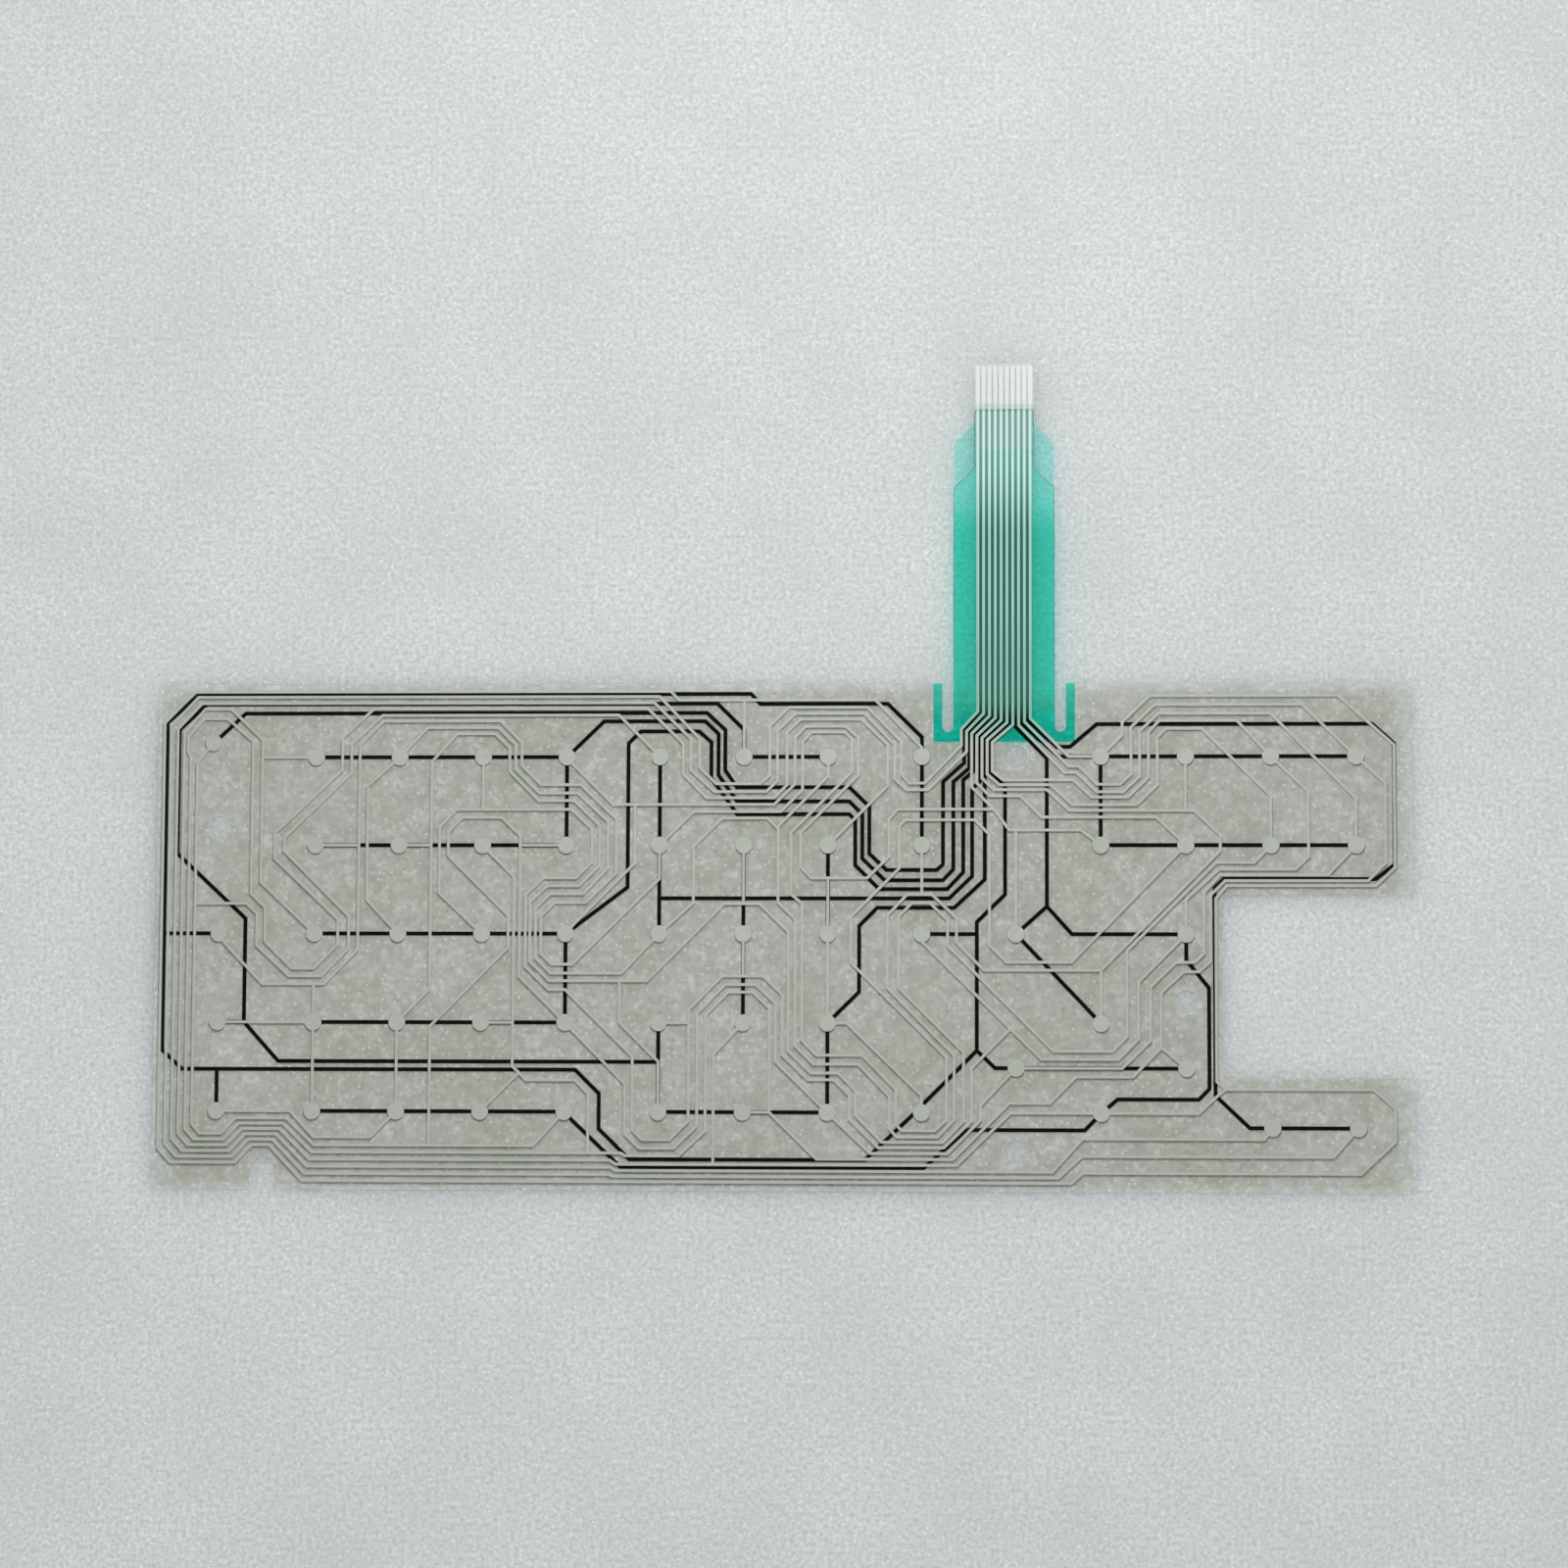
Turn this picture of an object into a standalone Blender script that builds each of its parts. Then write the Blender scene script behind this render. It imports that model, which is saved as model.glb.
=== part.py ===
"""Membrane keypad: two printed films with a spacer between them and a ten line tail.

Sizes are in millimetres, and MM turns them into metres. Columns of keys count from 0 at the left,
rows from 1 at the top. Lines are laid out on a routing grid that divides each key cell into
STEPS by STEPS steps, so a point (400, 200) is the pad in column 2 of row 1, and every line
moves with the keys when a pitch changes.
"""
import math

import bmesh
import bpy
from mathutils import Vector
from mathutils.geometry import delaunay_2d_cdt

MM = 0.001
NAME = "membrane_keypad"

# Key field
FIRST_PITCH = 20.7
COLUMN_PITCH = 18.1
BLOCK_PITCH = 20.1
BLOCK_STARTS = (5, 8, 9)
LAST_COLUMN = 13
ROW_PITCH = 19.05
LAST_ROW = 5

# Sheet round the key field
LEFT_MARGIN = 13.9
RIGHT_MARGIN = 12.1
TOP_MARGIN = 15.8
BOTTOM_MARGIN = 16.7
ARM_COLUMN = 11 + 5 / 12
ARM_ROWS = (2 + 9 / 16, 4 + 3 / 5)

# Tail
TAIL_COLUMN = 8 + 7 / 8
TAIL_WIDTH = 21.7
TIP_WIDTH = 12.8
UPPER_TAIL_LENGTH = 69.4
TIP_LENGTH = 12.7
TAIL_STEP = 9.9
LINE_PITCH = 1.25
LINE_COUNT = 10
CONTACT_LENGTH = 8.7
TIP_SETBACK = 0.4
LOWER_TAIL_LENGTH = UPPER_TAIL_LENGTH - TAIL_STEP

# Openings
SLOT_WIDTH = 2.4
SLOT_DEPTH = 10.5
NOTCH_COLUMN = 1 / 2
NOTCH_WIDTH = 5.4
NOTCH_DEPTH = 7.0
LOCATING_DIAMETER = 5.0
LOCATING_HOLES = ((0, 1.8), (9, 1), (9, 5.43), (11, 3.76))
ARC_SIDES = 16

# Layers, from the floor up
FILM_THICKNESS = 0.125
PRINT_THICKNESS = 0.02
INK_THICKNESS = 0.02
SPACER_THICKNESS = 0.16
STIFFENER_THICKNESS = 0.19

# Print
SILVER_WIDTH = 0.6
CARBON_WIDTH = 0.85
PAD_DIAMETER = 3.6
PAD_SIDES = 10
KEY_HOLE_DIAMETER = 5.2
KEY_HOLE_SIDES = 8
INK_SIDE = 1.9
INK_END = 2.1
INK_WIDTH = TAIL_WIDTH + 2 * SLOT_WIDTH + 2 * INK_SIDE
INK_DEPTH = SLOT_DEPTH + INK_END
CLEARANCE = 0.4
INK_INSET = 0.15

# Keys as row: columns, and four keys that sit off the rows
KEY_ROWS = {
    1: (1, 2, 3, 4, 5, 6, 7, 8, 10, 11, 12, 13),
    2: (1, 2, 3, 4, 5, 6, 7, 8, 10, 11, 12, 13),
    3: (0, 1, 2, 3, 4, 5, 6, 7, 8, 9, 11),
    4: (0, 1, 2, 3, 4, 5, 6, 7, 10),
    5: (0, 1, 2, 3, 4, 5, 6, 7, 8, 10),
}
ODD_KEYS = ((-0.085, 0.835), (9, 4.5), (11, 4.5), (12, 5.16), (13, 5.16))

# Colours
FILM_COLOUR = (0.60, 0.63, 0.58, 1.0)
FILM_ALPHA = 0.45
SPACER_COLOUR = (0.68, 0.70, 0.66, 1.0)
SILVER_COLOUR = (0.48, 0.52, 0.45, 1.0)
CARBON_COLOUR = (0.004, 0.005, 0.004, 1.0)
INK_COLOUR = (0.03, 0.45, 0.32, 1.0)
STIFFENER_COLOUR = (0.72, 0.74, 0.70, 1.0)

STEPS = 200


def perimeter(lane):
    """Corners of one lane of the bundle down the left edge and over the notch, outermost lane 0."""
    corners = ((-121, 1084), (-94, 1116), (41, 1116), (76, 1076), (112, 1076), (181, 1156))
    shifts = ((14, -11), (12, -13), (-6, -13), (-7, -12), (7, -12), (5, -16))
    return [(x + lane * dx, y + lane * dy) for (x, y), (dx, dy) in zip(corners, shifts)]


def fan(lane):
    """Point where a line of the tail's left seven has stepped aside below the tail."""
    return [(1684 + 11 * (lane - 1), 138 + 5 * (lane - 1))]


# Silver lines on the upper film, from the left of the tail to the right. The first route of a
# line starts at its lane of the tail, the others branch off.

SILVER_ROUTES = (
    (  # line 1
        [*fan(1), (1684, 175), (1606, 260), (1573, 260), (1556, 240), (1556, 166), (1483, 88),
         (1306, 88), (1261, 130), (1261, 242), (1239, 261), (1134, 261), (1094, 224), (1094, 159),
         (998, 63), (-51, 63), (-107, 128), *perimeter(1), (896, 1140), (905, 1144), (1899, 1144),
         (1954, 1096), (2541, 1096), (2600, 1032)],
    ),
    (  # line 2
        [*fan(2), (1695, 189), (1613, 275), (1567, 275), (1542, 251), (1542, 173), (1477, 102),
         (1322, 102), (1279, 141), (1279, 255), (1253, 279), (1130, 279), (1073, 230), (1073, 159),
         (987, 77), (-43, 77), (-93, 135), *perimeter(2), (900, 1124), (911, 1131), (1885, 1131),
         (1956, 1057), (2380, 1057), (2400, 1032)],
    ),
    (  # line 3
        [*fan(3), (1706, 269), (1753, 319), (1786, 366), (1953, 366), (2000, 400)],
        [(1800, 600), (1800, 366)],
        [(1753, 319), (1548, 319), (1530, 341), (1530, 426), (1484, 474), (1361, 474), (1335, 450),
         (1335, 372), (1464, 242), (1464, 157), (1437, 131), (1346, 131), (1321, 157), (1321, 262),
         (1272, 308), (900, 308), (815, 219), (800, 200)],
        [(947, 308), (947, 441), (818, 578), (800, 600)],
        [(1400, 474), (1400, 800), (1441, 800), (1600, 962), (1600, 1000)],
    ),
    (  # line 4
        [*fan(4), (1717, 260), (1744, 289), (1810, 289), (1861, 337), (2131, 337), (2200, 400),
         (1930, 663), (1780, 663), (1744, 626), (1744, 377), (1713, 343), (1565, 343), (1552, 357),
         (1552, 452), (1449, 562), (1449, 664), (1653, 876), (1653, 1016), (1628, 1040),
         (1558, 1040), (1546, 1027), (1546, 949), (1474, 872), (1374, 872), (1339, 838),
         (1339, 532), (1312, 510), (1312, 372), (1450, 235), (1450, 160), (1435, 144), (1360, 144),
         (1339, 166), (1339, 275), (1288, 324), (1081, 324), (1000, 400), (1000, 476), (815, 669),
         (767, 669), (741, 645), (741, 561), (773, 530), (843, 530), (907, 463), (907, 341),
         (830, 263), (738, 263), (692, 219), (692, 167), (640, 118), (360, 118), (304, 171),
         (304, 636), (225, 714), (93, 714), (13, 623), (0, 600)],
        [(304, 400), (200, 400)],
        [(200, 714), (200, 1000)],
        [(200, 800), (0, 800)],
    ),
    (  # line 5
        [*fan(5), (1728, 249), (1753, 275), (1873, 275), (1926, 322), (2219, 322), (2281, 377),
         (2281, 412), (2000, 681), (1732, 681), (1674, 619), (1674, 564), (1621, 511), (1569, 511),
         (1527, 558), (1527, 721), (1669, 872), (1669, 1016), (1634, 1054), (1547, 1054),
         (1532, 1036), (1532, 964), (1466, 892), (1367, 892), (1323, 851), (1323, 567),
         (1282, 529), (1282, 357), (1400, 244), (1400, 200)],
        [(2200, 200), (2200, 322)],
        [(2000, 681), (2000, 800)],
        [(1600, 400), (1600, 511)],
        [(1282, 364), (1256, 339), (1149, 339), (1081, 403), (1081, 530), (1000, 600), (920, 689),
         (765, 689), (728, 654), (728, 543), (763, 510), (837, 510), (889, 452), (889, 346),
         (824, 282), (735, 282), (677, 228), (677, 172), (635, 133), (466, 133), (400, 200),
         (324, 265), (324, 523), (400, 600)],
    ),
    (  # line 6
        [*fan(6), (1739, 240), (1765, 264), (1882, 264), (1933, 309), (2085, 309), (2134, 264),
         (2134, 156), (2155, 137), (2238, 137), (2400, 289), (2400, 400), (2361, 439), (2271, 439),
         (2061, 637), (2061, 829), (2026, 862), (1888, 862), (1655, 626), (1655, 569), (1617, 530),
         (1580, 530), (1551, 560), (1551, 721), (1689, 865), (1689, 1018), (1645, 1066),
         (1516, 1066), (1460, 1006), (1460, 951), (1423, 912), (1361, 912), (1307, 862),
         (1307, 596), (1238, 532), (1155, 532), (975, 706), (762, 706), (715, 663), (715, 528),
         (756, 492), (828, 492), (871, 446), (871, 355), (816, 299), (733, 299), (663, 232),
         (663, 179), (628, 147), (537, 147), (477, 210), (477, 725), (400, 800), (400, 1000),
         (340, 1058), (205, 1058), (154, 1000), (0, 1000)],
        [(1200, 400), (1200, 532)],
        [(916, 706), (916, 799), (1000, 887), (1000, 1000)],
        [(477, 400), (400, 400)],
    ),
    (  # line 7
        [*fan(7), (1750, 233), (1773, 253), (1935, 253), (1979, 292), (2064, 292), (2113, 247),
         (2113, 145), (2139, 119), (2321, 119), (2400, 200), (2488, 280), (2488, 426), (2457, 454),
         (2278, 454), (2200, 522), (2200, 600), (2088, 707), (2088, 834), (2040, 880), (1860, 880),
         (1788, 812), (1600, 617), (1600, 600)],
        [(1788, 812), (1706, 900), (1706, 1018), (1647, 1078), (1508, 1078), (1447, 1015),
         (1447, 962), (1414, 927), (1354, 927), (1293, 871), (1293, 737), (1248, 695), (1151, 695),
         (1072, 770), (1072, 1020), (1028, 1062), (967, 1062), (945, 1040), (945, 876), (800, 726),
         (761, 726), (704, 674), (704, 512), (747, 474), (821, 474), (855, 439), (855, 363),
         (810, 319), (537, 319), (497, 359), (497, 508), (600, 600)],
        [(600, 200), (600, 319)],
        [(1200, 600), (1200, 695)],
        [(1000, 800), (1072, 800)],
    ),
    (  # line 8
        [(1914, 236), (1942, 236), (1991, 280), (2053, 280), (2092, 245), (2092, 143), (2137, 103),
         (2400, 103), (2600, 296), (2600, 400), (2533, 467), (2280, 467), (2242, 507), (2242, 643),
         (2219, 663), (2176, 663), (2116, 718), (2116, 838), (2049, 900), (1800, 900), (1725, 983),
         (1725, 1016), (1655, 1091), (1492, 1091), (1400, 1000), (1277, 886), (1277, 756),
         (1230, 714), (1158, 714), (1092, 779), (1092, 1031), (1038, 1081), (961, 1081),
         (929, 1049), (929, 937), (800, 800), (690, 696), (690, 379), (645, 337), (551, 337),
         (518, 370), (518, 423), (663, 559), (663, 632), (479, 809), (479, 1076)],
        [(800, 400), (690, 400)],
        [(800, 1000), (727, 1076), *reversed(perimeter(5)), (-51, 211), (-17, 167)],
        [(-51, 532), (57, 532), (79, 555), (79, 626), (148, 696), (218, 696), (282, 634),
         (282, 561), (134, 412), (134, 383), (284, 236), (284, 171), (357, 105), (911, 105),
         (1000, 200)],
    ),
    (  # line 9
        [(1924, 222), (1949, 222), (1992, 263), (2046, 263), (2072, 240), (2072, 134), (2128, 83),
         (2474, 83), (2600, 200), (2669, 261), (2669, 439), (2627, 480), (2292, 480), (2257, 513),
         (2257, 661), (2229, 684), (2194, 684), (2141, 731), (2141, 853), (2074, 919), (1941, 919),
         (1879, 978), (1786, 978), (1666, 1104), (1375, 1104), (1263, 1000), (1263, 767),
         (1223, 731), (1165, 731), (1112, 783), (1112, 1042), (1049, 1098), (931, 1098),
         (921, 1092), *reversed(perimeter(4)), (-65, 200), (-71, 186), (-71, 153), (-38, 112),
         (12, 112), (66, 164), (66, 510), (96, 541), (96, 617), (154, 679), (199, 679), (256, 625),
         (256, 568), (115, 430), (115, 372), (262, 229), (262, 156), (336, 90), (973, 90),
         (1055, 170), (1055, 239), (1111, 293), (1272, 293), (1302, 264), (1302, 144), (1334, 115),
         (1470, 115), (1527, 173), (1527, 266), (1400, 400)],
        [(2141, 853), (2200, 900)],
        [(1200, 1000), (1263, 1000)],
        [(600, 400), (676, 472), (676, 898), (692, 913), (709, 929), (823, 929), (851, 960),
         (851, 1092)],
        [(600, 800), (676, 800)],
        [(600, 1000), (692, 913)],
    ),
    (  # line 10
        [(1924, 200), (2000, 200), (2051, 152), (2051, 123), (2116, 63), (2559, 63), (2690, 175),
         (2690, 450), (2645, 491), (2296, 491), (2270, 520), (2270, 929), (2291, 946), (2636, 946),
         (2686, 989), (2686, 1061), (2605, 1133), (1956, 1133), (1929, 1156),
         *reversed(perimeter(0)), (-121, 121), (-58, 51), (1025, 51), (1044, 71), (1500, 71),
         (1600, 180), (1600, 200)],
        [(1200, 71), (1200, 200)],
        [(2291, 946), (2268, 964), (2227, 1000), (1788, 1000), (1674, 1117), (911, 1117),
         (898, 1108), *reversed(perimeter(3)), (-79, 144), (-36, 90), (19, 90), (86, 160),
         (86, 483), (200, 600)],
        [(86, 200), (200, 200)],
        [(1131, 1117), (1131, 871), (1200, 800)],
    ),
)

# Carbon lines on the lower film, again from the left of the tail to the right.
CARBON_ROUTES = (
    (  # line 1
        [*fan(1.5), (1690, 214), (1645, 257), (1645, 443), (1632, 456), (1525, 456), (1488, 419),
         (1488, 313), (1445, 269), (1183, 269), (1155, 230), (1155, 139), (1111, 100), (49, 100),
         (-17, 167)],
    ),
    (  # line 2
        [*fan(2.5), (1701, 226), (1667, 257), (1667, 454), (1645, 479), (1521, 479), (1473, 430),
         (1473, 330), (1445, 301), (1184, 301), (1139, 241), (1139, 148), (1107, 119), (879, 119),
         (800, 200)],
        [(200, 200), (800, 200)],
        [(800, 200), (800, 400)],
        [(200, 400), (800, 400)],
    ),
    (  # line 3
        [*fan(3.5), (1712, 231), (1688, 253), (1688, 461), (1654, 499), (1509, 499), (1458, 445),
         (1458, 344), (1445, 330), (1184, 330), (1122, 248), (1122, 167), (1093, 142), (958, 142),
         (932, 169), (932, 495), (800, 600)],
        [(200, 600), (800, 600)],
        [(800, 600), (800, 800)],
        [(200, 800), (800, 800)],
    ),
    (  # line 4
        [*fan(4.5), (1723, 257), (1707, 273), (1707, 470), (1658, 520), (1000, 520)],
        [(1000, 200), (1000, 600)],
        [(1200, 400), (1200, 800)],
        [(1400, 400), (1400, 600)],
    ),
    (  # line 5
        [*fan(5.5), (1734, 477), (1669, 541), (1505, 541), (1467, 582), (1467, 730), (1400, 800),
         (1400, 1000)],
        [(1400, 1000), (1000, 1000), (1000, 800)],
        [(1000, 888), (128, 888), (55, 800), (55, 566), (-90, 419), (-90, 137), (-34, 79),
         (1136, 79), (1200, 139), (1200, 200), (1400, 200)],
        [(55, 800), (0, 800)],
    ),
    (  # line 6
        [*fan(6.5), (1745, 234), (1777, 268), (1777, 511), (1717, 573), (1717, 861), (1756, 900),
         (2200, 900)],
        [(1717, 600), (1600, 600)],
        [(1717, 861), (1600, 984), (1600, 1000), (1586, 1000), (1480, 1106), (940, 1106),
         (874, 1038), (874, 959), (823, 906), (-73, 906), (-116, 863), (-116, 121), (-51, 57),
         (1216, 57), (1238, 80), (1527, 80), (1600, 156), (1600, 400)],
        [(0, 906), (0, 1000)],
        [(-116, 600), (0, 600)],
    ),
    (  # line 7
        [(1873, 204), (1873, 538), (1800, 600), (2000, 800)],
        [(1873, 538), (1932, 600), (2200, 600), (2200, 658), (2253, 720), (2253, 945), (2228, 969),
         (2038, 969), (2000, 1000), (1961, 1038), (1695, 1038), (1603, 1125), (923, 1125),
         (813, 1015), (800, 1000), (200, 1000)],
    ),
    (  # line 8
        [(1901, 200), (2600, 200)],
        [(2000, 200), (2000, 400), (2600, 400)],
    ),
    (  # line 9
        [(1896, 178), (1928, 178), (1991, 127), (2639, 127), (2690, 171), (2690, 443), (2645, 476),
         (2289, 476), (2267, 496), (2267, 960), (2347, 1032), (2600, 1032)],
    ),
)


def column_positions():
    """Distance of every key column from the sheet's left edge."""
    positions = [LEFT_MARGIN, LEFT_MARGIN + FIRST_PITCH]
    for column in range(2, LAST_COLUMN + 1):
        pitch = BLOCK_PITCH if column in BLOCK_STARTS else COLUMN_PITCH
        positions.append(positions[-1] + pitch)
    return positions


COLUMNS = column_positions()
SHEET_WIDTH = COLUMNS[-1] + RIGHT_MARGIN
SHEET_HEIGHT = TOP_MARGIN + (LAST_ROW - 1) * ROW_PITCH + BOTTOM_MARGIN
SHEET_TOP = (SHEET_HEIGHT - UPPER_TAIL_LENGTH) / 2
SHEET_BOTTOM = SHEET_TOP - SHEET_HEIGHT
SHEET_RIGHT = SHEET_WIDTH / 2
SHEET_LEFT = -SHEET_RIGHT

LOWER_PRINT_Z = FILM_THICKNESS
SPACER_Z = LOWER_PRINT_Z + PRINT_THICKNESS
UPPER_PRINT_Z = SPACER_Z + SPACER_THICKNESS
UPPER_FILM_Z = UPPER_PRINT_Z + PRINT_THICKNESS
STIFFENER_Z = UPPER_FILM_Z + FILM_THICKNESS


def column_x(column):
    """X of a key column, whole or fractional, from the sheet's centre."""
    index = min(max(int(math.floor(column)), 0), LAST_COLUMN - 1)
    pitch = COLUMNS[index + 1] - COLUMNS[index]
    return SHEET_LEFT + COLUMNS[index] + (column - index) * pitch


def row_y(row):
    """Y of a key row, whole or fractional."""
    return SHEET_TOP - TOP_MARGIN - (row - 1) * ROW_PITCH


TAIL_X = column_x(TAIL_COLUMN)


def place(point):
    """Turn a point of the routing grid into millimetres."""
    return (column_x(point[0] / STEPS), row_y(point[1] / STEPS))


def circle(centre, diameter, sides):
    """Polygon of a round pad or hole."""
    step = 2 * math.pi / sides
    radius = diameter / 2
    return [(centre[0] + radius * math.cos((i + 0.5) * step),
             centre[1] + radius * math.sin((i + 0.5) * step)) for i in range(sides)]


def rectangle(left, bottom, right, top):
    """Polygon of a rectangle."""
    return [(left, bottom), (right, bottom), (right, top), (left, top)]


def open_slot(x, mouth, end, width):
    """Polygon of a slot that is open at its mouth and round at its end."""
    radius = width / 2
    way = 1 if end > mouth else -1
    centre = end - way * radius
    rim = mouth - way * radius
    points = [(x - radius, rim), (x + radius, rim)]
    for i in range(ARC_SIDES // 2 + 1):
        angle = 2 * math.pi * i / ARC_SIDES
        points.append((x + radius * math.cos(angle), centre + way * radius * math.sin(angle)))
    return points


def sheet_polygon():
    """Outline of the sheet without its tail: a plate with two arms at the right."""
    arm_x = column_x(ARM_COLUMN)
    upper_arm, lower_arm = (row_y(row) for row in ARM_ROWS)
    return [(SHEET_LEFT, SHEET_BOTTOM), (SHEET_RIGHT, SHEET_BOTTOM), (SHEET_RIGHT, lower_arm),
            (arm_x, lower_arm), (arm_x, upper_arm), (SHEET_RIGHT, upper_arm),
            (SHEET_RIGHT, SHEET_TOP), (SHEET_LEFT, SHEET_TOP)]


def tail_polygon(length, inset=0.0, bare=0.0):
    """Outline of a tail with sloped shoulders and a narrower tip, which may stop short of its end."""
    wide = TAIL_WIDTH / 2 - inset
    tip = TIP_WIDTH / 2 - inset
    end = SHEET_TOP + length - bare
    neck = SHEET_TOP + length - TIP_LENGTH
    shoulder = neck - (wide - tip)
    root = SHEET_TOP - INK_DEPTH / 2
    return [(TAIL_X - wide, root), (TAIL_X + wide, root), (TAIL_X + wide, shoulder),
            (TAIL_X + tip, neck), (TAIL_X + tip, end), (TAIL_X - tip, end),
            (TAIL_X - tip, neck), (TAIL_X - wide, shoulder)]


def slot_polygons():
    """The two relief slots beside the tail's root and the notch in the bottom edge."""
    offset = (TAIL_WIDTH + SLOT_WIDTH) / 2
    end = SHEET_TOP - SLOT_DEPTH
    slots = [open_slot(TAIL_X + side * offset, SHEET_TOP, end, SLOT_WIDTH) for side in (-1, 1)]
    notch_end = SHEET_BOTTOM + NOTCH_DEPTH
    slots.append(open_slot(column_x(NOTCH_COLUMN), SHEET_BOTTOM, notch_end, NOTCH_WIDTH))
    return slots


def hole_polygons(extra=0.0):
    """The locating holes that pass through the whole stack."""
    return [circle((column_x(column), row_y(row)), LOCATING_DIAMETER + extra, ARC_SIDES)
            for column, row in LOCATING_HOLES]


def key_centres():
    """Centre of every key contact."""
    keys = [(column, row) for row, columns in KEY_ROWS.items() for column in columns]
    return [(column_x(column), row_y(row)) for column, row in [*keys, *ODD_KEYS]]


def anticlockwise(polygon):
    """Polygon with its corners in anticlockwise order."""
    pairs = zip(polygon, [*polygon[1:], polygon[0]])
    turn = sum(a[0] * b[1] - a[1] * b[0] for a, b in pairs)
    return polygon if turn > 0 else polygon[::-1]


def region(add, cut):
    """Unite the polygons in add, cut away those in cut and return vertices and triangles."""
    corners = []
    loops = []
    for polygon in [*add, *cut]:
        loops.append(list(range(len(corners), len(corners) + len(polygon))))
        corners.extend(Vector(point) for point in anticlockwise(polygon))
    vertices, _, faces, _, _, sources = delaunay_2d_cdt(corners, [], loops, 0, 1e-5)
    added = len(add)
    kept = [face for face, source in zip(faces, sources)
            if any(i < added for i in source) and not any(i >= added for i in source)]
    return vertices, kept


def make_material(name, colour, roughness, metallic, alpha=1.0):
    """Principled material of one piece."""
    material = bpy.data.materials.new(name)
    material.use_nodes = True
    material.diffuse_color = (*colour[:3], alpha)
    shader = material.node_tree.nodes["Principled BSDF"]
    shader.inputs["Base Color"].default_value = colour
    shader.inputs["Roughness"].default_value = roughness
    shader.inputs["Metallic"].default_value = metallic
    shader.inputs["Alpha"].default_value = alpha
    return material


def make_layer(name, add, cut, bottom, thickness, material):
    """Flat piece of even thickness with the outline that its polygons give."""
    vertices, faces = region(add, cut)
    build = bmesh.new()
    points = [build.verts.new((v.x * MM, v.y * MM, bottom * MM)) for v in vertices]
    for face in faces:
        build.faces.new([points[i] for i in face])
    loose = [v for v in build.verts if not v.link_faces]
    bmesh.ops.delete(build, geom=loose, context="VERTS")
    bmesh.ops.dissolve_limit(build, angle_limit=math.radians(0.2), verts=build.verts[:],
                             edges=build.edges[:])
    bmesh.ops.triangulate(build, faces=build.faces[:])
    grown = bmesh.ops.extrude_face_region(build, geom=build.faces[:], use_keep_orig=True)
    top = [item for item in grown["geom"] if isinstance(item, bmesh.types.BMVert)]
    bmesh.ops.translate(build, verts=top, vec=(0.0, 0.0, thickness * MM))
    bmesh.ops.recalc_face_normals(build, faces=build.faces[:])
    mesh = bpy.data.meshes.new(name)
    build.to_mesh(mesh)
    build.free()
    mesh.materials.append(material)
    piece = bpy.data.objects.new(name, mesh)
    bpy.data.collections[NAME].objects.link(piece)
    return piece


def offset_point(before, point, after, distance):
    """Corner of a ribbon's edge at one point of its centre line."""
    way_in = (Vector(point) - Vector(before)).normalized()
    way_out = (Vector(after) - Vector(point)).normalized()
    normal_in = Vector((-way_in.y, way_in.x))
    normal_out = Vector((-way_out.y, way_out.x))
    mitre = (normal_in + normal_out).normalized()
    return Vector(point) + mitre * (distance / mitre.dot(normal_in))


def ribbon(points, width):
    """Polygon of a printed line of even width along its centre line."""
    ends = [Vector(points[0]) * 2 - Vector(points[1]), Vector(points[-1]) * 2 - Vector(points[-2])]
    path = [ends[0], *points, ends[1]]
    left = [offset_point(*path[i:i + 3], width / 2) for i in range(len(points))]
    right = [offset_point(*path[i:i + 3], -width / 2) for i in range(len(points))]
    return [*left, *reversed(right)]


def distance_to(point, start, end):
    """Distance of a point from a stretch of a line."""
    along = Vector(end) - Vector(start)
    share = (Vector(point) - Vector(start)).dot(along) / along.length_squared
    nearest = Vector(start) + along * min(max(share, 0.0), 1.0)
    return (Vector(point) - nearest).length


def tail_lane(lane, end):
    """Straight stretch of a line along the tail, down to the bend where it turns into the sheet."""
    x = TAIL_X + (lane - (LINE_COUNT + 1) / 2) * LINE_PITCH
    bend = 98 + 5 * (lane - 1) if lane <= 7 else 133 - 7.6 * (lane - 7.5)
    return [(x, end), (x, row_y(bend / STEPS))]


def line_polygons(routes, lane, end, width):
    """Ribbons of one printed line and the round pads that it runs through."""
    paths = [[place(point) for point in route] for route in routes]
    paths[0] = tail_lane(lane, end) + paths[0]
    polygons = [ribbon(path, width) for path in paths]
    stretches = [pair for path in paths for pair in zip(path, path[1:])]
    for centre in key_centres():
        if min(distance_to(centre, *pair) for pair in stretches) < width / 4:
            polygons.append(circle(centre, PAD_DIAMETER, PAD_SIDES))
    return polygons


def make_films():
    """Lower and upper film, each with its own tail."""
    cut = slot_polygons() + hole_polygons()
    lower = [sheet_polygon(), tail_polygon(LOWER_TAIL_LENGTH)]
    upper = [sheet_polygon(), tail_polygon(UPPER_TAIL_LENGTH)]
    make_layer("lower_film", lower, cut, 0.0, FILM_THICKNESS,
               make_material("lower_film_polyester", FILM_COLOUR, 0.35, 0.0, FILM_ALPHA))
    make_layer("upper_film", upper, cut, UPPER_FILM_Z, FILM_THICKNESS,
               make_material("upper_film_polyester", FILM_COLOUR, 0.3, 0.0, FILM_ALPHA))


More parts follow.
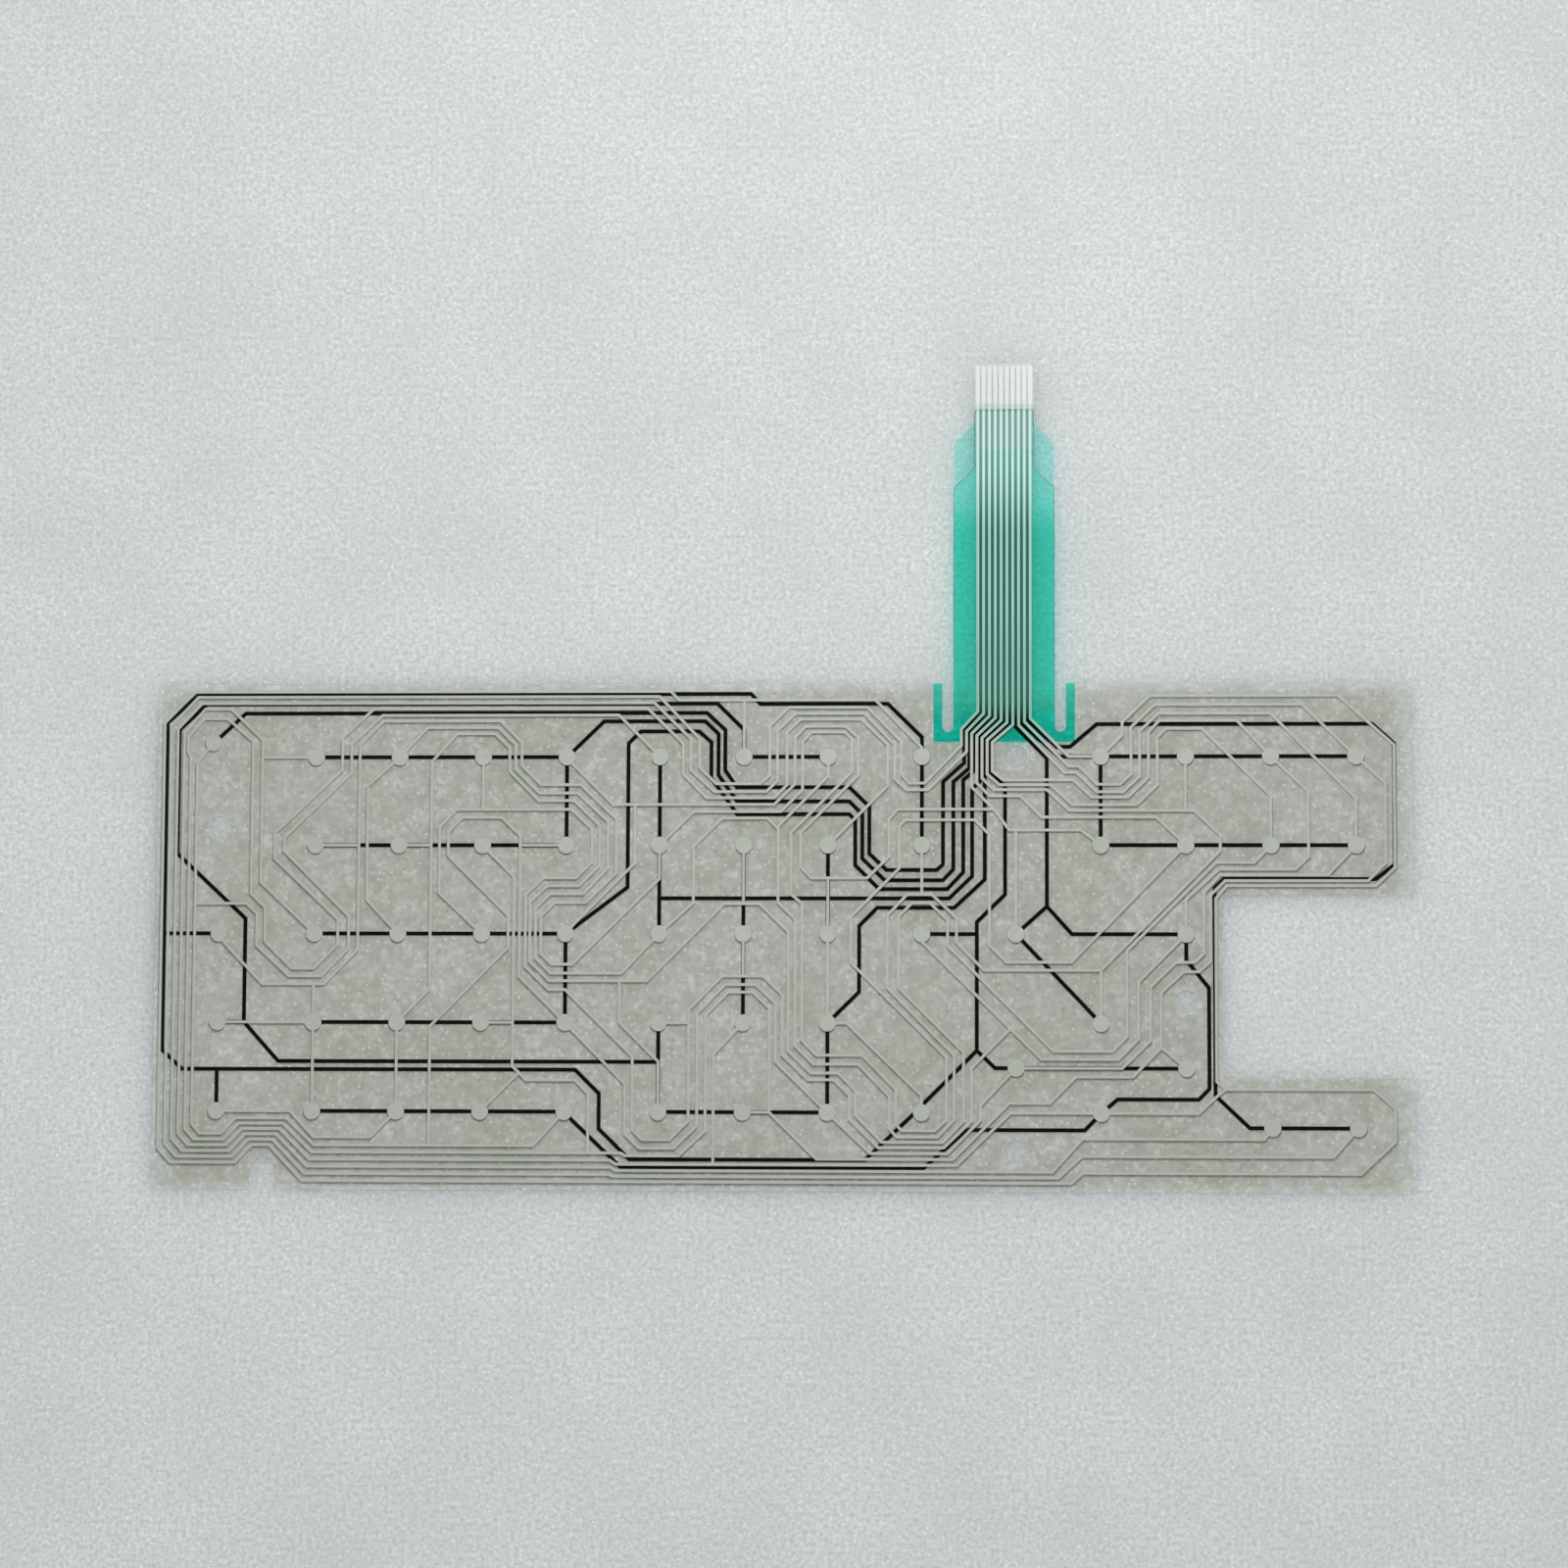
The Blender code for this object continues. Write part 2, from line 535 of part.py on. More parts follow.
def make_spacer():
    """Sheet with a hole at every key that keeps the two prints apart."""
    base = rectangle(TAIL_X - INK_WIDTH / 2 - CLEARANCE, SHEET_TOP - INK_DEPTH - CLEARANCE,
                     TAIL_X + INK_WIDTH / 2 + CLEARANCE, SHEET_TOP + CLEARANCE)
    cut = [base, slot_polygons()[-1]] + hole_polygons(2 * CLEARANCE)
    cut += [circle(centre, KEY_HOLE_DIAMETER, KEY_HOLE_SIDES) for centre in key_centres()]
    make_layer("spacer", [sheet_polygon()], cut, SPACER_Z, SPACER_THICKNESS,
               make_material("spacer_polyester", SPACER_COLOUR, 0.5, 0.0, FILM_ALPHA))


def make_insulation():
    """Green ink over the lines at the root of the tail and along it, bare at the contacts."""
    base = rectangle(TAIL_X - INK_WIDTH / 2, SHEET_TOP - INK_DEPTH,
                     TAIL_X + INK_WIDTH / 2, SHEET_TOP)
    cut = slot_polygons()
    upper = tail_polygon(UPPER_TAIL_LENGTH, INK_INSET, CONTACT_LENGTH)
    lower = tail_polygon(LOWER_TAIL_LENGTH, INK_INSET, CONTACT_LENGTH)
    make_layer("upper_insulation", [base, upper], cut, UPPER_PRINT_Z - INK_THICKNESS,
               INK_THICKNESS, make_material("upper_green_ink", INK_COLOUR, 0.4, 0.0))
    make_layer("lower_insulation", [base, lower], cut, SPACER_Z, INK_THICKNESS,
               make_material("lower_green_ink", INK_COLOUR, 0.4, 0.0))


def make_stiffener():
    """Plate on the back of the tail's tip, over the stretch where the lower film has ended."""
    end = SHEET_TOP + UPPER_TAIL_LENGTH
    plate = rectangle(TAIL_X - TIP_WIDTH / 2, end - TAIL_STEP, TAIL_X + TIP_WIDTH / 2, end)
    make_layer("tail_stiffener", [plate], [], STIFFENER_Z, STIFFENER_THICKNESS,
               make_material("stiffener_polyester", STIFFENER_COLOUR, 0.25, 0.0, 0.7))


def make_silver_lines():
    """Ten silver lines on the underside of the upper film."""
    end = SHEET_TOP + UPPER_TAIL_LENGTH - TIP_SETBACK
    for lane, routes in enumerate(SILVER_ROUTES, 1):
        name = f"upper_silver_line_{lane}"
        polygons = line_polygons(routes, lane, end, SILVER_WIDTH)
        make_layer(name, polygons, [], UPPER_PRINT_Z, PRINT_THICKNESS,
                   make_material(name, SILVER_COLOUR, 0.45, 0.35))


def make_carbon_lines():
    """Nine silver lines under carbon on the top of the lower film, seen black from above."""
    end = SHEET_TOP + LOWER_TAIL_LENGTH - TIP_SETBACK
    for number, routes in enumerate(CARBON_ROUTES, 1):
        name = f"lower_carbon_line_{number}"
        polygons = line_polygons(routes, number + 0.5, end, CARBON_WIDTH)
        make_layer(name, polygons, [], LOWER_PRINT_Z, PRINT_THICKNESS,
                   make_material(name, CARBON_COLOUR, 0.6, 0.0))


def clear_scene():
    """Remove what the scene holds at the start."""
    for item in list(bpy.data.objects):
        bpy.data.objects.remove(item, do_unlink=True)


def main():
    """Build the keypad from the floor up."""
    clear_scene()
    collection = bpy.data.collections.new(NAME)
    bpy.context.scene.collection.children.link(collection)
    make_films()
    make_spacer()
    make_insulation()
    make_stiffener()
    make_silver_lines()
    make_carbon_lines()


if __name__ == "__main__":
    main()
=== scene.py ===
"""Looks of the membrane keypad: clear films, silver and black print, green ink, floor and light.

Sizes are in millimetres, and MM turns them into metres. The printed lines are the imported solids
with a finish of their own. The flat sheets are cut afresh from their outlines, with round holes
and corners, and lie a hair's breadth off the print, so that no two faces share a plane.
"""
import logging
import math
from dataclasses import dataclass, field
from enum import Enum

import bpy
from mathutils import Euler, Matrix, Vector


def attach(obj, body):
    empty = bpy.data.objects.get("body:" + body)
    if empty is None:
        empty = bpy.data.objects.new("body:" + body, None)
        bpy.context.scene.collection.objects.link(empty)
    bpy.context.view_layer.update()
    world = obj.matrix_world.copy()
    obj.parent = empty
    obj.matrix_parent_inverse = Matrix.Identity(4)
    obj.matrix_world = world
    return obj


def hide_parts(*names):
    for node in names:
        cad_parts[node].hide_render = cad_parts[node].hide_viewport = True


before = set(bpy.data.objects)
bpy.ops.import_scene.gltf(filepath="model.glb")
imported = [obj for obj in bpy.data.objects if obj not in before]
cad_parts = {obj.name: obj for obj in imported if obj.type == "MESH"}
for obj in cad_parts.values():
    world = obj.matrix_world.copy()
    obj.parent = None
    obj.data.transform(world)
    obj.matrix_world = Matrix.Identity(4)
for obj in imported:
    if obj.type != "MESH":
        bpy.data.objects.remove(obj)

MM = 0.001
BODY = "root"
INK_RELIEF = 0.004
INK_RELIEF_SHARE = 0.25
CORNER_STEPS = 5
HOLE_SIDES = 40
MERGE_DISTANCE = 0.0005
NOISE_LOW, NOISE_HIGH = 0.3, 0.7
LIGHT_PASSES = 32
LOG = logging.getLogger("membrane_keypad")

Colour = tuple[float, float, float]
Point = tuple[float, float]


class Layer(Enum):
    """Print layer, named by the film that carries it."""

    UPPER = "upper"
    LOWER = "lower"


class Slot(Enum):
    """Material slot of the record that a piece takes its finish from."""

    FILM = "film"
    SPACER = "spacer"
    GREEN_INK = "green_ink"
    STIFFENER = "stiffener"
    SILVER = "silver_print"
    CARBON = "carbon_print"


class NodeTree:
    """Node tree that is filled one node at a time."""

    def __init__(self, tree: bpy.types.NodeTree) -> None:
        """Start on a tree that Blender has made.

        Args:
            tree: The tree to fill.
        """
        self.tree = tree

    def add(self, kind: str, settings: dict | None = None,
            inputs: dict | None = None) -> bpy.types.Node:
        """Add a node, set its options and fill or link its inputs.

        Args:
            kind: Blender's name for the kind of node.
            settings: Options of the node, by name.
            inputs: Values or sockets for its inputs, by name or by number.

        Returns:
            The new node.
        """
        node = self.tree.nodes.new(kind)
        for name, value in (settings or {}).items():
            setattr(node, name, value)
        for name, value in (inputs or {}).items():
            if isinstance(value, bpy.types.NodeSocket):
                self.tree.links.new(value, node.inputs[name])
            else:
                node.inputs[name].default_value = value
        return node


class SurfaceTree(NodeTree):
    """Material tree round one Principled shader, with the steps that the finishes share."""

    def __init__(self, name: str) -> None:
        """Make the material and its shader.

        Args:
            name: Name of the material.
        """
        self.material = bpy.data.materials.new(name)
        self.material.use_nodes = True
        super().__init__(self.material.node_tree)
        self.shader = self.tree.nodes["Principled BSDF"]
        self.output = self.tree.nodes["Material Output"]
        self.place = self.add("ShaderNodeTexCoord").outputs["Object"]

    def set(self, name: str, value: float | tuple | bpy.types.NodeSocket) -> None:
        """Set or link one input of the shader.

        Args:
            name: Name of the input.
            value: Constant or socket; a colour of three numbers is made opaque.
        """
        if isinstance(value, bpy.types.NodeSocket):
            self.tree.links.new(value, self.shader.inputs[name])
        else:
            self.shader.inputs[name].default_value = opaque(value)

    def noise(self, grain: float, low: float = 0.0, high: float = 1.0,
              detail: float = 2.0) -> bpy.types.NodeSocket:
        """Even noise on the object's own coordinates.

        Args:
            grain: Size of its spots in millimetres.
            low: Value at its lowest.
            high: Value at its highest.
            detail: Number of finer layers.

        Returns:
            A socket that runs from low to high.
        """
        spots = self.add("ShaderNodeTexNoise", None,
                         {"Vector": self.place, "Scale": 1 / (grain * MM), "Detail": detail})
        return self.spread(spots.outputs["Fac"], NOISE_LOW, NOISE_HIGH, low, high)

    def spread(self, value: bpy.types.NodeSocket, start: float, end: float, low: float,
               high: float, smooth: bool = False) -> bpy.types.NodeSocket:
        """Turn one range of a value into another and hold it at the ends.

        Args:
            value: Socket to read.
            start: Value that gives low.
            end: Value that gives high.
            low: Result at start.
            high: Result at end.
            smooth: Whether the step between them is eased.

        Returns:
            The result's socket.
        """
        kind = "SMOOTHSTEP" if smooth else "LINEAR"
        step = self.add("ShaderNodeMapRange", {"interpolation_type": kind},
                        {"Value": value, "From Min": start, "From Max": end, "To Min": low,
                         "To Max": high})
        return step.outputs["Result"]

    def sparkle(self, pitch: float, core: float, rim: float,
                strength: float) -> bpy.types.NodeSocket:
        """Small soft dots strewn over the object's own coordinates.

        Args:
            pitch: Mean distance between two dots in millimetres.
            core: Radius of a dot's full part, as a share of the pitch.
            rim: Radius at which it has faded, as a share of the pitch.
            strength: Value at a dot's middle.

        Returns:
            A socket that is 0 between the dots.
        """
        spots = self.add("ShaderNodeTexVoronoi", None,
                         {"Vector": self.place, "Scale": 1 / (pitch * MM)})
        return self.spread(spots.outputs["Distance"], core, rim, strength, 0.0, True)

    def along(self, axis: str, start: float, end: float) -> bpy.types.NodeSocket:
        """Eased step from 0 to 1 along one axis of the keypad.

        Args:
            axis: X, Y or Z.
            start: Where it is 0, in millimetres.
            end: Where it is 1, in millimetres.

        Returns:
            The step's socket.
        """
        split = self.add("ShaderNodeSeparateXYZ", None, {0: self.place})
        return self.spread(split.outputs[axis], start * MM, end * MM, 0.0, 1.0, True)

    def mix(self, share: float | bpy.types.NodeSocket, first: Colour | bpy.types.NodeSocket,
            second: Colour | bpy.types.NodeSocket) -> bpy.types.NodeSocket:
        """Blend two colours.

        Args:
            share: Share of the second.
            first: Colour or socket.
            second: Colour or socket.

        Returns:
            The blend's socket.
        """
        blend = self.add("ShaderNodeMix", {"data_type": "RGBA"},
                         {0: share, 6: opaque(first), 7: opaque(second)})
        return blend.outputs[2]

    def bump(self, height: bpy.types.NodeSocket, strength: float, depth: float) -> None:
        """Raise the surface a little where a value is high.

        Args:
            height: Value to read.
            strength: Share of the effect.
            depth: Height of the relief in millimetres.
        """
        relief = self.add("ShaderNodeBump", None,
                          {"Strength": strength, "Distance": depth * MM, "Height": height})
        self.set("Normal", relief.outputs["Normal"])


def opaque(value: float | tuple | bpy.types.NodeSocket) -> float | tuple | bpy.types.NodeSocket:
    """Give a colour of three numbers its fourth, and leave anything else as it is."""
    return (*value, 1.0) if isinstance(value, tuple) and len(value) == 3 else value


def shaded(colour: Colour, shade: Colour) -> Colour:
    """Multiply a colour by a shade, channel by channel."""
    return tuple(part * share for part, share in zip(colour, shade))


@dataclass(frozen=True)
class EdgeLightRim:
    """Clearer rim of a film, along its outer edges and over the whole tail: painted light for the
    brighter margins, where the prints shade the floor less.

    Each run gives how far inside its edge the change starts and ends.
    """

    tint: Colour
    right: float
    top: float
    bottom: float
    side_run: Point = (6.5, 0.5)
    top_run: Point = (2.6, 0.8)
    bottom_run: Point = (2.2, 0.2)

    def share(self, surface: SurfaceTree) -> bpy.types.NodeSocket:
        """Work out how far a place belongs to the rim.

        Args:
            surface: The material's tree.

        Returns:
            A socket that is 0 inside the sheet and 1 at its edge.
        """
        split = surface.add("ShaderNodeSeparateXYZ", None, {0: surface.place})
        across = surface.add("ShaderNodeMath", {"operation": "ABSOLUTE"}, {0: split.outputs["X"]})
        start, end = ((self.right - inset) * MM for inset in self.side_run)
        side = surface.spread(across.outputs[0], start, end, 0.0, 1.0, True)
        top = surface.along("Y", *(self.top - inset for inset in self.top_run))
        bottom = surface.along("Y", *(self.bottom + inset for inset in self.bottom_run))
        ends = surface.add("ShaderNodeMath", {"operation": "MAXIMUM"}, {0: top, 1: bottom})
        return surface.add("ShaderNodeMath", {"operation": "MAXIMUM"},
                           {0: side, 1: ends.outputs[0]}).outputs[0]


@dataclass(frozen=True)
class ClearSheet:
    """Clear or tinted sheet that filters what is seen through it and carries a faint haze.

    tint is what one face lets through, haze the share of a face that scatters light, body the
    colour of that haze and grain the strength of its fine bright specks, which are painted glints.
    The tint turns into dense_tint below the line dense_below, and the haze into tail_haze from
    tail_from to tail_to.
    A size is the width of a noise's spots; a shade is what a colour is multiplied by where the
    noise is high. glance is the extra share that a face scatters where it is seen edge on, from
    the slant glance_from on.
    """

    name: str
    tint: Colour
    body: Colour
    haze: float
    glance: float = 0.25
    glance_from: float = 0.62
    roughness: float = 0.3
    gloss: float = 0.5
    cloud_size: float = 24.0
    cloud_shade: float = 0.93
    cloud_tint: Colour = (0.9, 0.75, 1.3)
    mottle: float = 0.014
    dense_tint: Colour | None = None
    dense_below: float = 0.0
    dense_run: float = 6.0
    tail_haze: float | None = None
    tail_from: float = 17.0
    tail_to: float = 22.0
    patch_size: float = 3.4
    patch_shade: Colour = (0.57, 0.60, 0.52)
    speckle_size: float = 1.3
    speckle_shade: float = 0.58
    grain: float = 0.0
    glint_speck_pitch: float = 1.5
    glint_speck_dot: Point = (0.10, 0.32)
    glint_speck_colour: Colour = (0.96, 0.98, 0.96)
    rim: EdgeLightRim | None = None

    def material(self) -> bpy.types.Material:
        """Build the finish.

        Returns:
            A material that mixes a tinted see-through shader with a hazy one.
        """
        surface = SurfaceTree(self.name)
        clouds = surface.noise(self.cloud_size)
        loss = tuple(1 - self.mottle * part for part in self.cloud_tint)
        tint = surface.mix(clouds, self.tint, shaded(self.tint, loss))
        # Painted light: the film lets more through near its edges, where the prints shade the floor
        # less.
        if self.rim:
            tint = surface.mix(self.rim.share(surface), tint, self.rim.tint)
        if self.dense_tint:
            step = surface.along("Y", self.dense_below, self.dense_below - self.dense_run)
            tint = surface.mix(step, tint, self.dense_tint)
        through = surface.add("ShaderNodeBsdfTransparent", None, {"Color": opaque(tint)})
        body = surface.mix(clouds, self.body, shaded(self.body, (self.cloud_shade,) * 3))
        if self.grain:
            patches = surface.noise(self.patch_size)
            body = surface.mix(patches, body, shaded(self.body, self.patch_shade))
            speckle = surface.noise(self.speckle_size)
            body = surface.mix(speckle, body, shaded(self.body, (self.speckle_shade,) * 3))
            # Painted glints: fine bright specks strewn on the haze.
            specks = surface.sparkle(self.glint_speck_pitch, *self.glint_speck_dot, self.grain)
            body = surface.mix(specks, body, self.glint_speck_colour)
        surface.set("Base Color", body)
        surface.set("Roughness", self.roughness)
        surface.set("Specular IOR Level", self.gloss)
        edge = surface.add("ShaderNodeLayerWeight")
        haze = self.haze
        if self.tail_haze is not None:
            step = surface.along("Y", self.tail_from, self.tail_to)
            haze = surface.spread(step, 0.0, 1.0, self.haze, self.tail_haze)
        slant = surface.spread(edge.outputs["Facing"], self.glance_from, 1.0, 0.0, self.glance,
                               True)
        share = surface.add("ShaderNodeMath", {"operation": "ADD"}, {0: slant, 1: haze}).outputs[0]
        both = surface.add("ShaderNodeMixShader", None,
                           {0: share, 1: through.outputs[0], 2: surface.shader.outputs[0]})
        surface.tree.links.new(both.outputs[0], surface.output.inputs["Surface"])
        return surface.material


@dataclass(frozen=True)
class SilverPrint:
    """Printed silver: satin, finely grained, mint green along the tail, bright at its contacts.

    Its lightening towards the tip and at the bare contacts is painted reflection of the light on
    the glossy tail.

    Each place ending in _at is where a change of colour up the tail starts and ends. The first
    change reaches as far as given from the tail's middle and fades over the last edge of it.
    """

    name: str
    colour: Colour = (0.62, 0.66, 0.61)
    shade: Colour = (0.55, 0.585, 0.535)
    root_colour: Colour = (0.265, 0.51, 0.43)
    tail_colour: Colour = (0.33, 0.595, 0.51)
    tip_colour_with_sheen: Colour = (0.58, 0.795, 0.745)
    contact_colour_with_sheen: Colour = (0.85, 0.885, 0.87)
    root_at: Point = (6.0, 12.0)
    tail_at: Point = (22.0, 38.0)
    tip_at: Point = (50.0, 68.0)
    contact_at: Point = (80.0, 80.8)
    metal: float = 0.5
    middle: float = 0.0
    reach: float = 15.2
    edge: float = 0.5
    grain: float = 0.35
    rough_grain: float = 0.8
    roughness: Point = (0.42, 0.6)

    def material(self) -> bpy.types.Material:
        """Build the finish.

        Returns:
            A satin metal ink with fine grain.
        """
        surface = SurfaceTree(self.name)
        grain = surface.noise(self.grain)
        start, end = self.middle - self.reach, self.middle + self.reach
        left = surface.along("X", start, start + self.edge)
        right = surface.along("X", end, end - self.edge)
        across = surface.add("ShaderNodeMath", {"operation": "MULTIPLY"}, {0: left, 1: right})
        root = surface.add("ShaderNodeMath", {"operation": "MULTIPLY"},
                           {0: across.outputs[0], 1: surface.along("Y", *self.root_at)}).outputs[0]
        colour = surface.mix(grain, self.colour, self.shade)
        colour = surface.mix(root, colour, self.root_colour)
        # Painted reflection: from tip_at on, the colour lightens towards the tip and the contacts,
        # for the light's reflection on the glossy tail.
        for (start, end), shade in ((self.tail_at, self.tail_colour),
                                    (self.tip_at, self.tip_colour_with_sheen),
                                    (self.contact_at, self.contact_colour_with_sheen)):
            colour = surface.mix(surface.along("Y", start, end), colour, shade)
        surface.set("Base Color", colour)
        surface.set("Metallic", surface.spread(root, 0.0, 1.0, self.metal, 0.0))
        surface.set("Roughness", surface.noise(self.rough_grain, *self.roughness, detail=3.0))
        surface.bump(grain, INK_RELIEF_SHARE, INK_RELIEF)
        return surface.material


@dataclass(frozen=True)
class CarbonPrint:
    """Carbon ink over silver: matt black from above, silver where it is seen from below."""

    name: str
    black: Colour = (0.0022, 0.0030, 0.0022)
    worn: Colour = (0.0060, 0.0070, 0.0060)
    silver: Colour = (0.50, 0.53, 0.46)
    tip_colour_with_sheen: Colour = (0.46, 0.335, 0.315)
    tip_at: Point = (50.0, 72.0)
    underside_at: Point = (-0.6, -0.4)
    grain: float = 0.3
    rough_grain: float = 0.6
    roughness: Point = (0.5, 0.68)
    gloss: float = 0.05

    def material(self) -> bpy.types.Material:
        """Build the finish.

        Returns:
            A two-sided print, told apart by which way the face looks.
        """
        surface = SurfaceTree(self.name)
        grain = surface.noise(self.grain)
        carbon = surface.mix(grain, self.black, self.worn)
        # Towards the tip the lines turn grey: bare silver where the carbon stops, together with
        # painted reflection of the light on the glossy tail.
        carbon = surface.mix(surface.along("Y", *self.tip_at), carbon, self.tip_colour_with_sheen)
        facing = surface.add("ShaderNodeNewGeometry")
        up = surface.add("ShaderNodeSeparateXYZ", None, {0: facing.outputs["True Normal"]})
        side = surface.spread(up.outputs["Z"], *self.underside_at, 1.0, 0.0)
        surface.set("Base Color", surface.mix(side, carbon, self.silver))
        surface.set("Roughness", surface.noise(self.rough_grain, *self.roughness, detail=3.0))
        surface.set("Specular IOR Level", self.gloss)
        surface.bump(grain, INK_RELIEF_SHARE, INK_RELIEF)
        return surface.material


@dataclass(frozen=True)
class PaleFloor:
    """Pale floor with a fine grain and small painted glints."""

    name: str = "pale_floor"
    light: Colour = (0.75, 0.782, 0.782)
    dark: Colour = (0.50, 0.542, 0.542)
    spark: Colour = (0.85, 0.89, 0.89)
    grain: float = 0.9
    drift: float = 30.0
    drift_share: float = 0.35
    spark_pitch: float = 1.5
    spark_dot: Point = (0.10, 0.24)
    spark_strength: float = 0.6
    roughness: float = 0.75
    depth: float = 17.0
    share: float = 0.95
    relief: float = 0.25
    relief_share: float = 0.3

    def material(self) -> bpy.types.Material:
        """Build the finish.

        Returns:
            A matt floor that light spreads in, with grain and small bright spots that are painted
            glints.
        """
        surface = SurfaceTree(self.name)
        grain = surface.noise(self.grain, detail=4.0)
        drift = surface.noise(self.drift, high=self.drift_share)
        plain = surface.mix(drift, surface.mix(grain, self.light, self.dark), self.dark)
        # Painted glints: small bright spots strewn on the floor.
        bright = surface.sparkle(self.spark_pitch, *self.spark_dot, self.spark_strength)
        surface.set("Base Color", surface.mix(bright, plain, self.spark))
        surface.set("Roughness", self.roughness)
        surface.shader.subsurface_method = "BURLEY"
        surface.set("Subsurface Weight", self.share)
        surface.set("Subsurface Scale", self.depth * MM)
        surface.shader.inputs["Subsurface Radius"].default_value = (1.0, 1.0, 1.0)
        surface.bump(grain, self.relief_share, self.relief)
        return surface.material


@dataclass(frozen=True)
class Outline:
    """Closed outline of a flat piece, anticlockwise, and the round holes in it.

    corners holds x, y and the radius of each corner; holes x, y and diameter.
    """

    corners: list[tuple[float, float, float]]
    holes: list[tuple[float, float, float]] = field(default_factory=list)
    closed: bool = True

    def mesh(self, name: str) -> bpy.types.Mesh:
        """Draw the outline as a loop of edges, with a loose point for each hole.

        Args:
            name: Name of the mesh.

        Returns:
            A mesh whose points carry corner_radius and hole_diameter.
        """
        count = len(self.corners)
        points = [(x * MM, y * MM, 0.0) for x, y, _ in [*self.corners, *self.holes]]
        edges = [(i, (i + 1) % count) for i in range(count if self.closed else count - 1)]
        mesh = bpy.data.meshes.new(name)
        mesh.from_pydata(points, edges, [])
        radii = [r * MM for _, _, r in self.corners] + [0.0] * len(self.holes)
        widths = [0.0] * count + [d * MM for _, _, d in self.holes]
        for title, values in (("corner_radius", radii), ("hole_diameter", widths)):
            mesh.attributes.new(title, "FLOAT", "POINT").data.foreach_set("value", values)
        return mesh


class PieceTree(NodeTree):
    """Geometry node tree that makes one kind of piece from named sizes."""

    def __init__(self, name: str) -> None:
        """Make the tree with its inputs for geometry, thickness, height and material.

        Args:
            name: Name of the tree.
        """
        super().__init__(bpy.data.node_groups.new(name, "GeometryNodeTree"))
        self.tree.interface.new_socket("Geometry", in_out="OUTPUT",
                                       socket_type="NodeSocketGeometry")
        self.source = self.tree.nodes.new("NodeGroupInput")
        self.sink = self.tree.nodes.new("NodeGroupOutput")
        self.seed = self.size("Geometry", "NodeSocketGeometry")
        self.thickness = self.size("Thickness")
        self.bottom = self.size("Bottom")
        self.finish = self.size("Finish", "NodeSocketMaterial")

    def size(self, name: str, kind: str = "NodeSocketFloat") -> bpy.types.NodeSocket:
        """Add a named input.

        Args:
            name: Name of the input.
            kind: Blender's name for its type.

        Returns:
            The socket that carries it inside the tree.
        """
        self.tree.interface.new_socket(name, in_out="INPUT", socket_type=kind)
        return self.source.outputs[name]

    def stored(self, name: str) -> bpy.types.NodeSocket:
        """Number that the seed's points carry under a name."""
        return self.add("GeometryNodeInputNamedAttribute", {"data_type": "FLOAT"},
                        {"Name": name}).outputs["Attribute"]

    def raise_body(self, curve: bpy.types.NodeSocket) -> bpy.types.NodeSocket:
        """Fill a flat closed curve and raise it by the thickness.

        Args:
            curve: The curve's socket.

        Returns:
            Socket of a closed body whose faces look outwards.
        """
        flat = self.add("GeometryNodeFillCurve", {"mode": "TRIANGLES"}, {"Curve": curve}).outputs[0]
        under = self.add("GeometryNodeFlipFaces", None, {"Mesh": flat})
        up = self.add("ShaderNodeCombineXYZ", None, {"Z": 1.0})
        top = self.add("GeometryNodeExtrudeMesh", {"mode": "FACES"},
                       {"Mesh": flat, "Offset": up.outputs[0], "Offset Scale": self.thickness,
                        "Individual": False})
        shell = self.add("GeometryNodeJoinGeometry")
        self.tree.links.new(under.outputs[0], shell.inputs[0])
        self.tree.links.new(top.outputs["Mesh"], shell.inputs[0])
        body = self.add("GeometryNodeMergeByDistance", None,
                        {"Geometry": shell.outputs[0], "Distance": MERGE_DISTANCE * MM})
        return body.outputs[0]

    def close(self, body: bpy.types.NodeSocket) -> None:
        """Lift the bodies to their height and end the tree.

        Args:
            body: Socket of the bodies or of instances of them.
        """
        height = self.add("ShaderNodeCombineXYZ", None, {"Z": self.bottom})
        lifted = self.add("GeometryNodeTransform", None,
                          {"Geometry": body, "Translation": height.outputs[0]})
        real = self.add("GeometryNodeRealizeInstances", None, {"Geometry": lifted.outputs[0]})
        dressed = self.add("GeometryNodeSetMaterial", None,
                           {"Geometry": real.outputs[0], "Material": self.finish})
        self.tree.links.new(dressed.outputs[0], self.sink.inputs[0])

    def make(self, name: str, seed: bpy.types.Mesh, sizes: dict) -> bpy.types.Object:
        """Run the tree on a seed mesh and keep the result as a plain mesh.

        Args:
            name: Name of the piece.
            seed: Mesh that the tree starts from.
            sizes: Values of the tree's inputs by name, lengths in metres.

        Returns:
            The finished piece, riding on the keypad's body.
        """
        piece = bpy.data.objects.new(name, seed)
        bpy.context.scene.collection.objects.link(piece)
        modifier = piece.modifiers.new(self.tree.name, "NODES")
        modifier.node_group = self.tree
        for item in self.tree.interface.items_tree:
            if item.in_out == "INPUT" and item.name in sizes:
                modifier[item.identifier] = sizes[item.name]
        evaluated = piece.evaluated_get(bpy.context.evaluated_depsgraph_get())
        mesh = bpy.data.meshes.new_from_object(evaluated)
        piece.modifiers.remove(modifier)
        piece.data = mesh
        mesh.name = name
        for title in ("corner_radius", "hole_diameter"):
            if title in mesh.attributes:
                mesh.attributes.remove(mesh.attributes[title])
        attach(piece, BODY)
        LOG.info("%s: %d faces", name, len(mesh.polygons))
        return piece


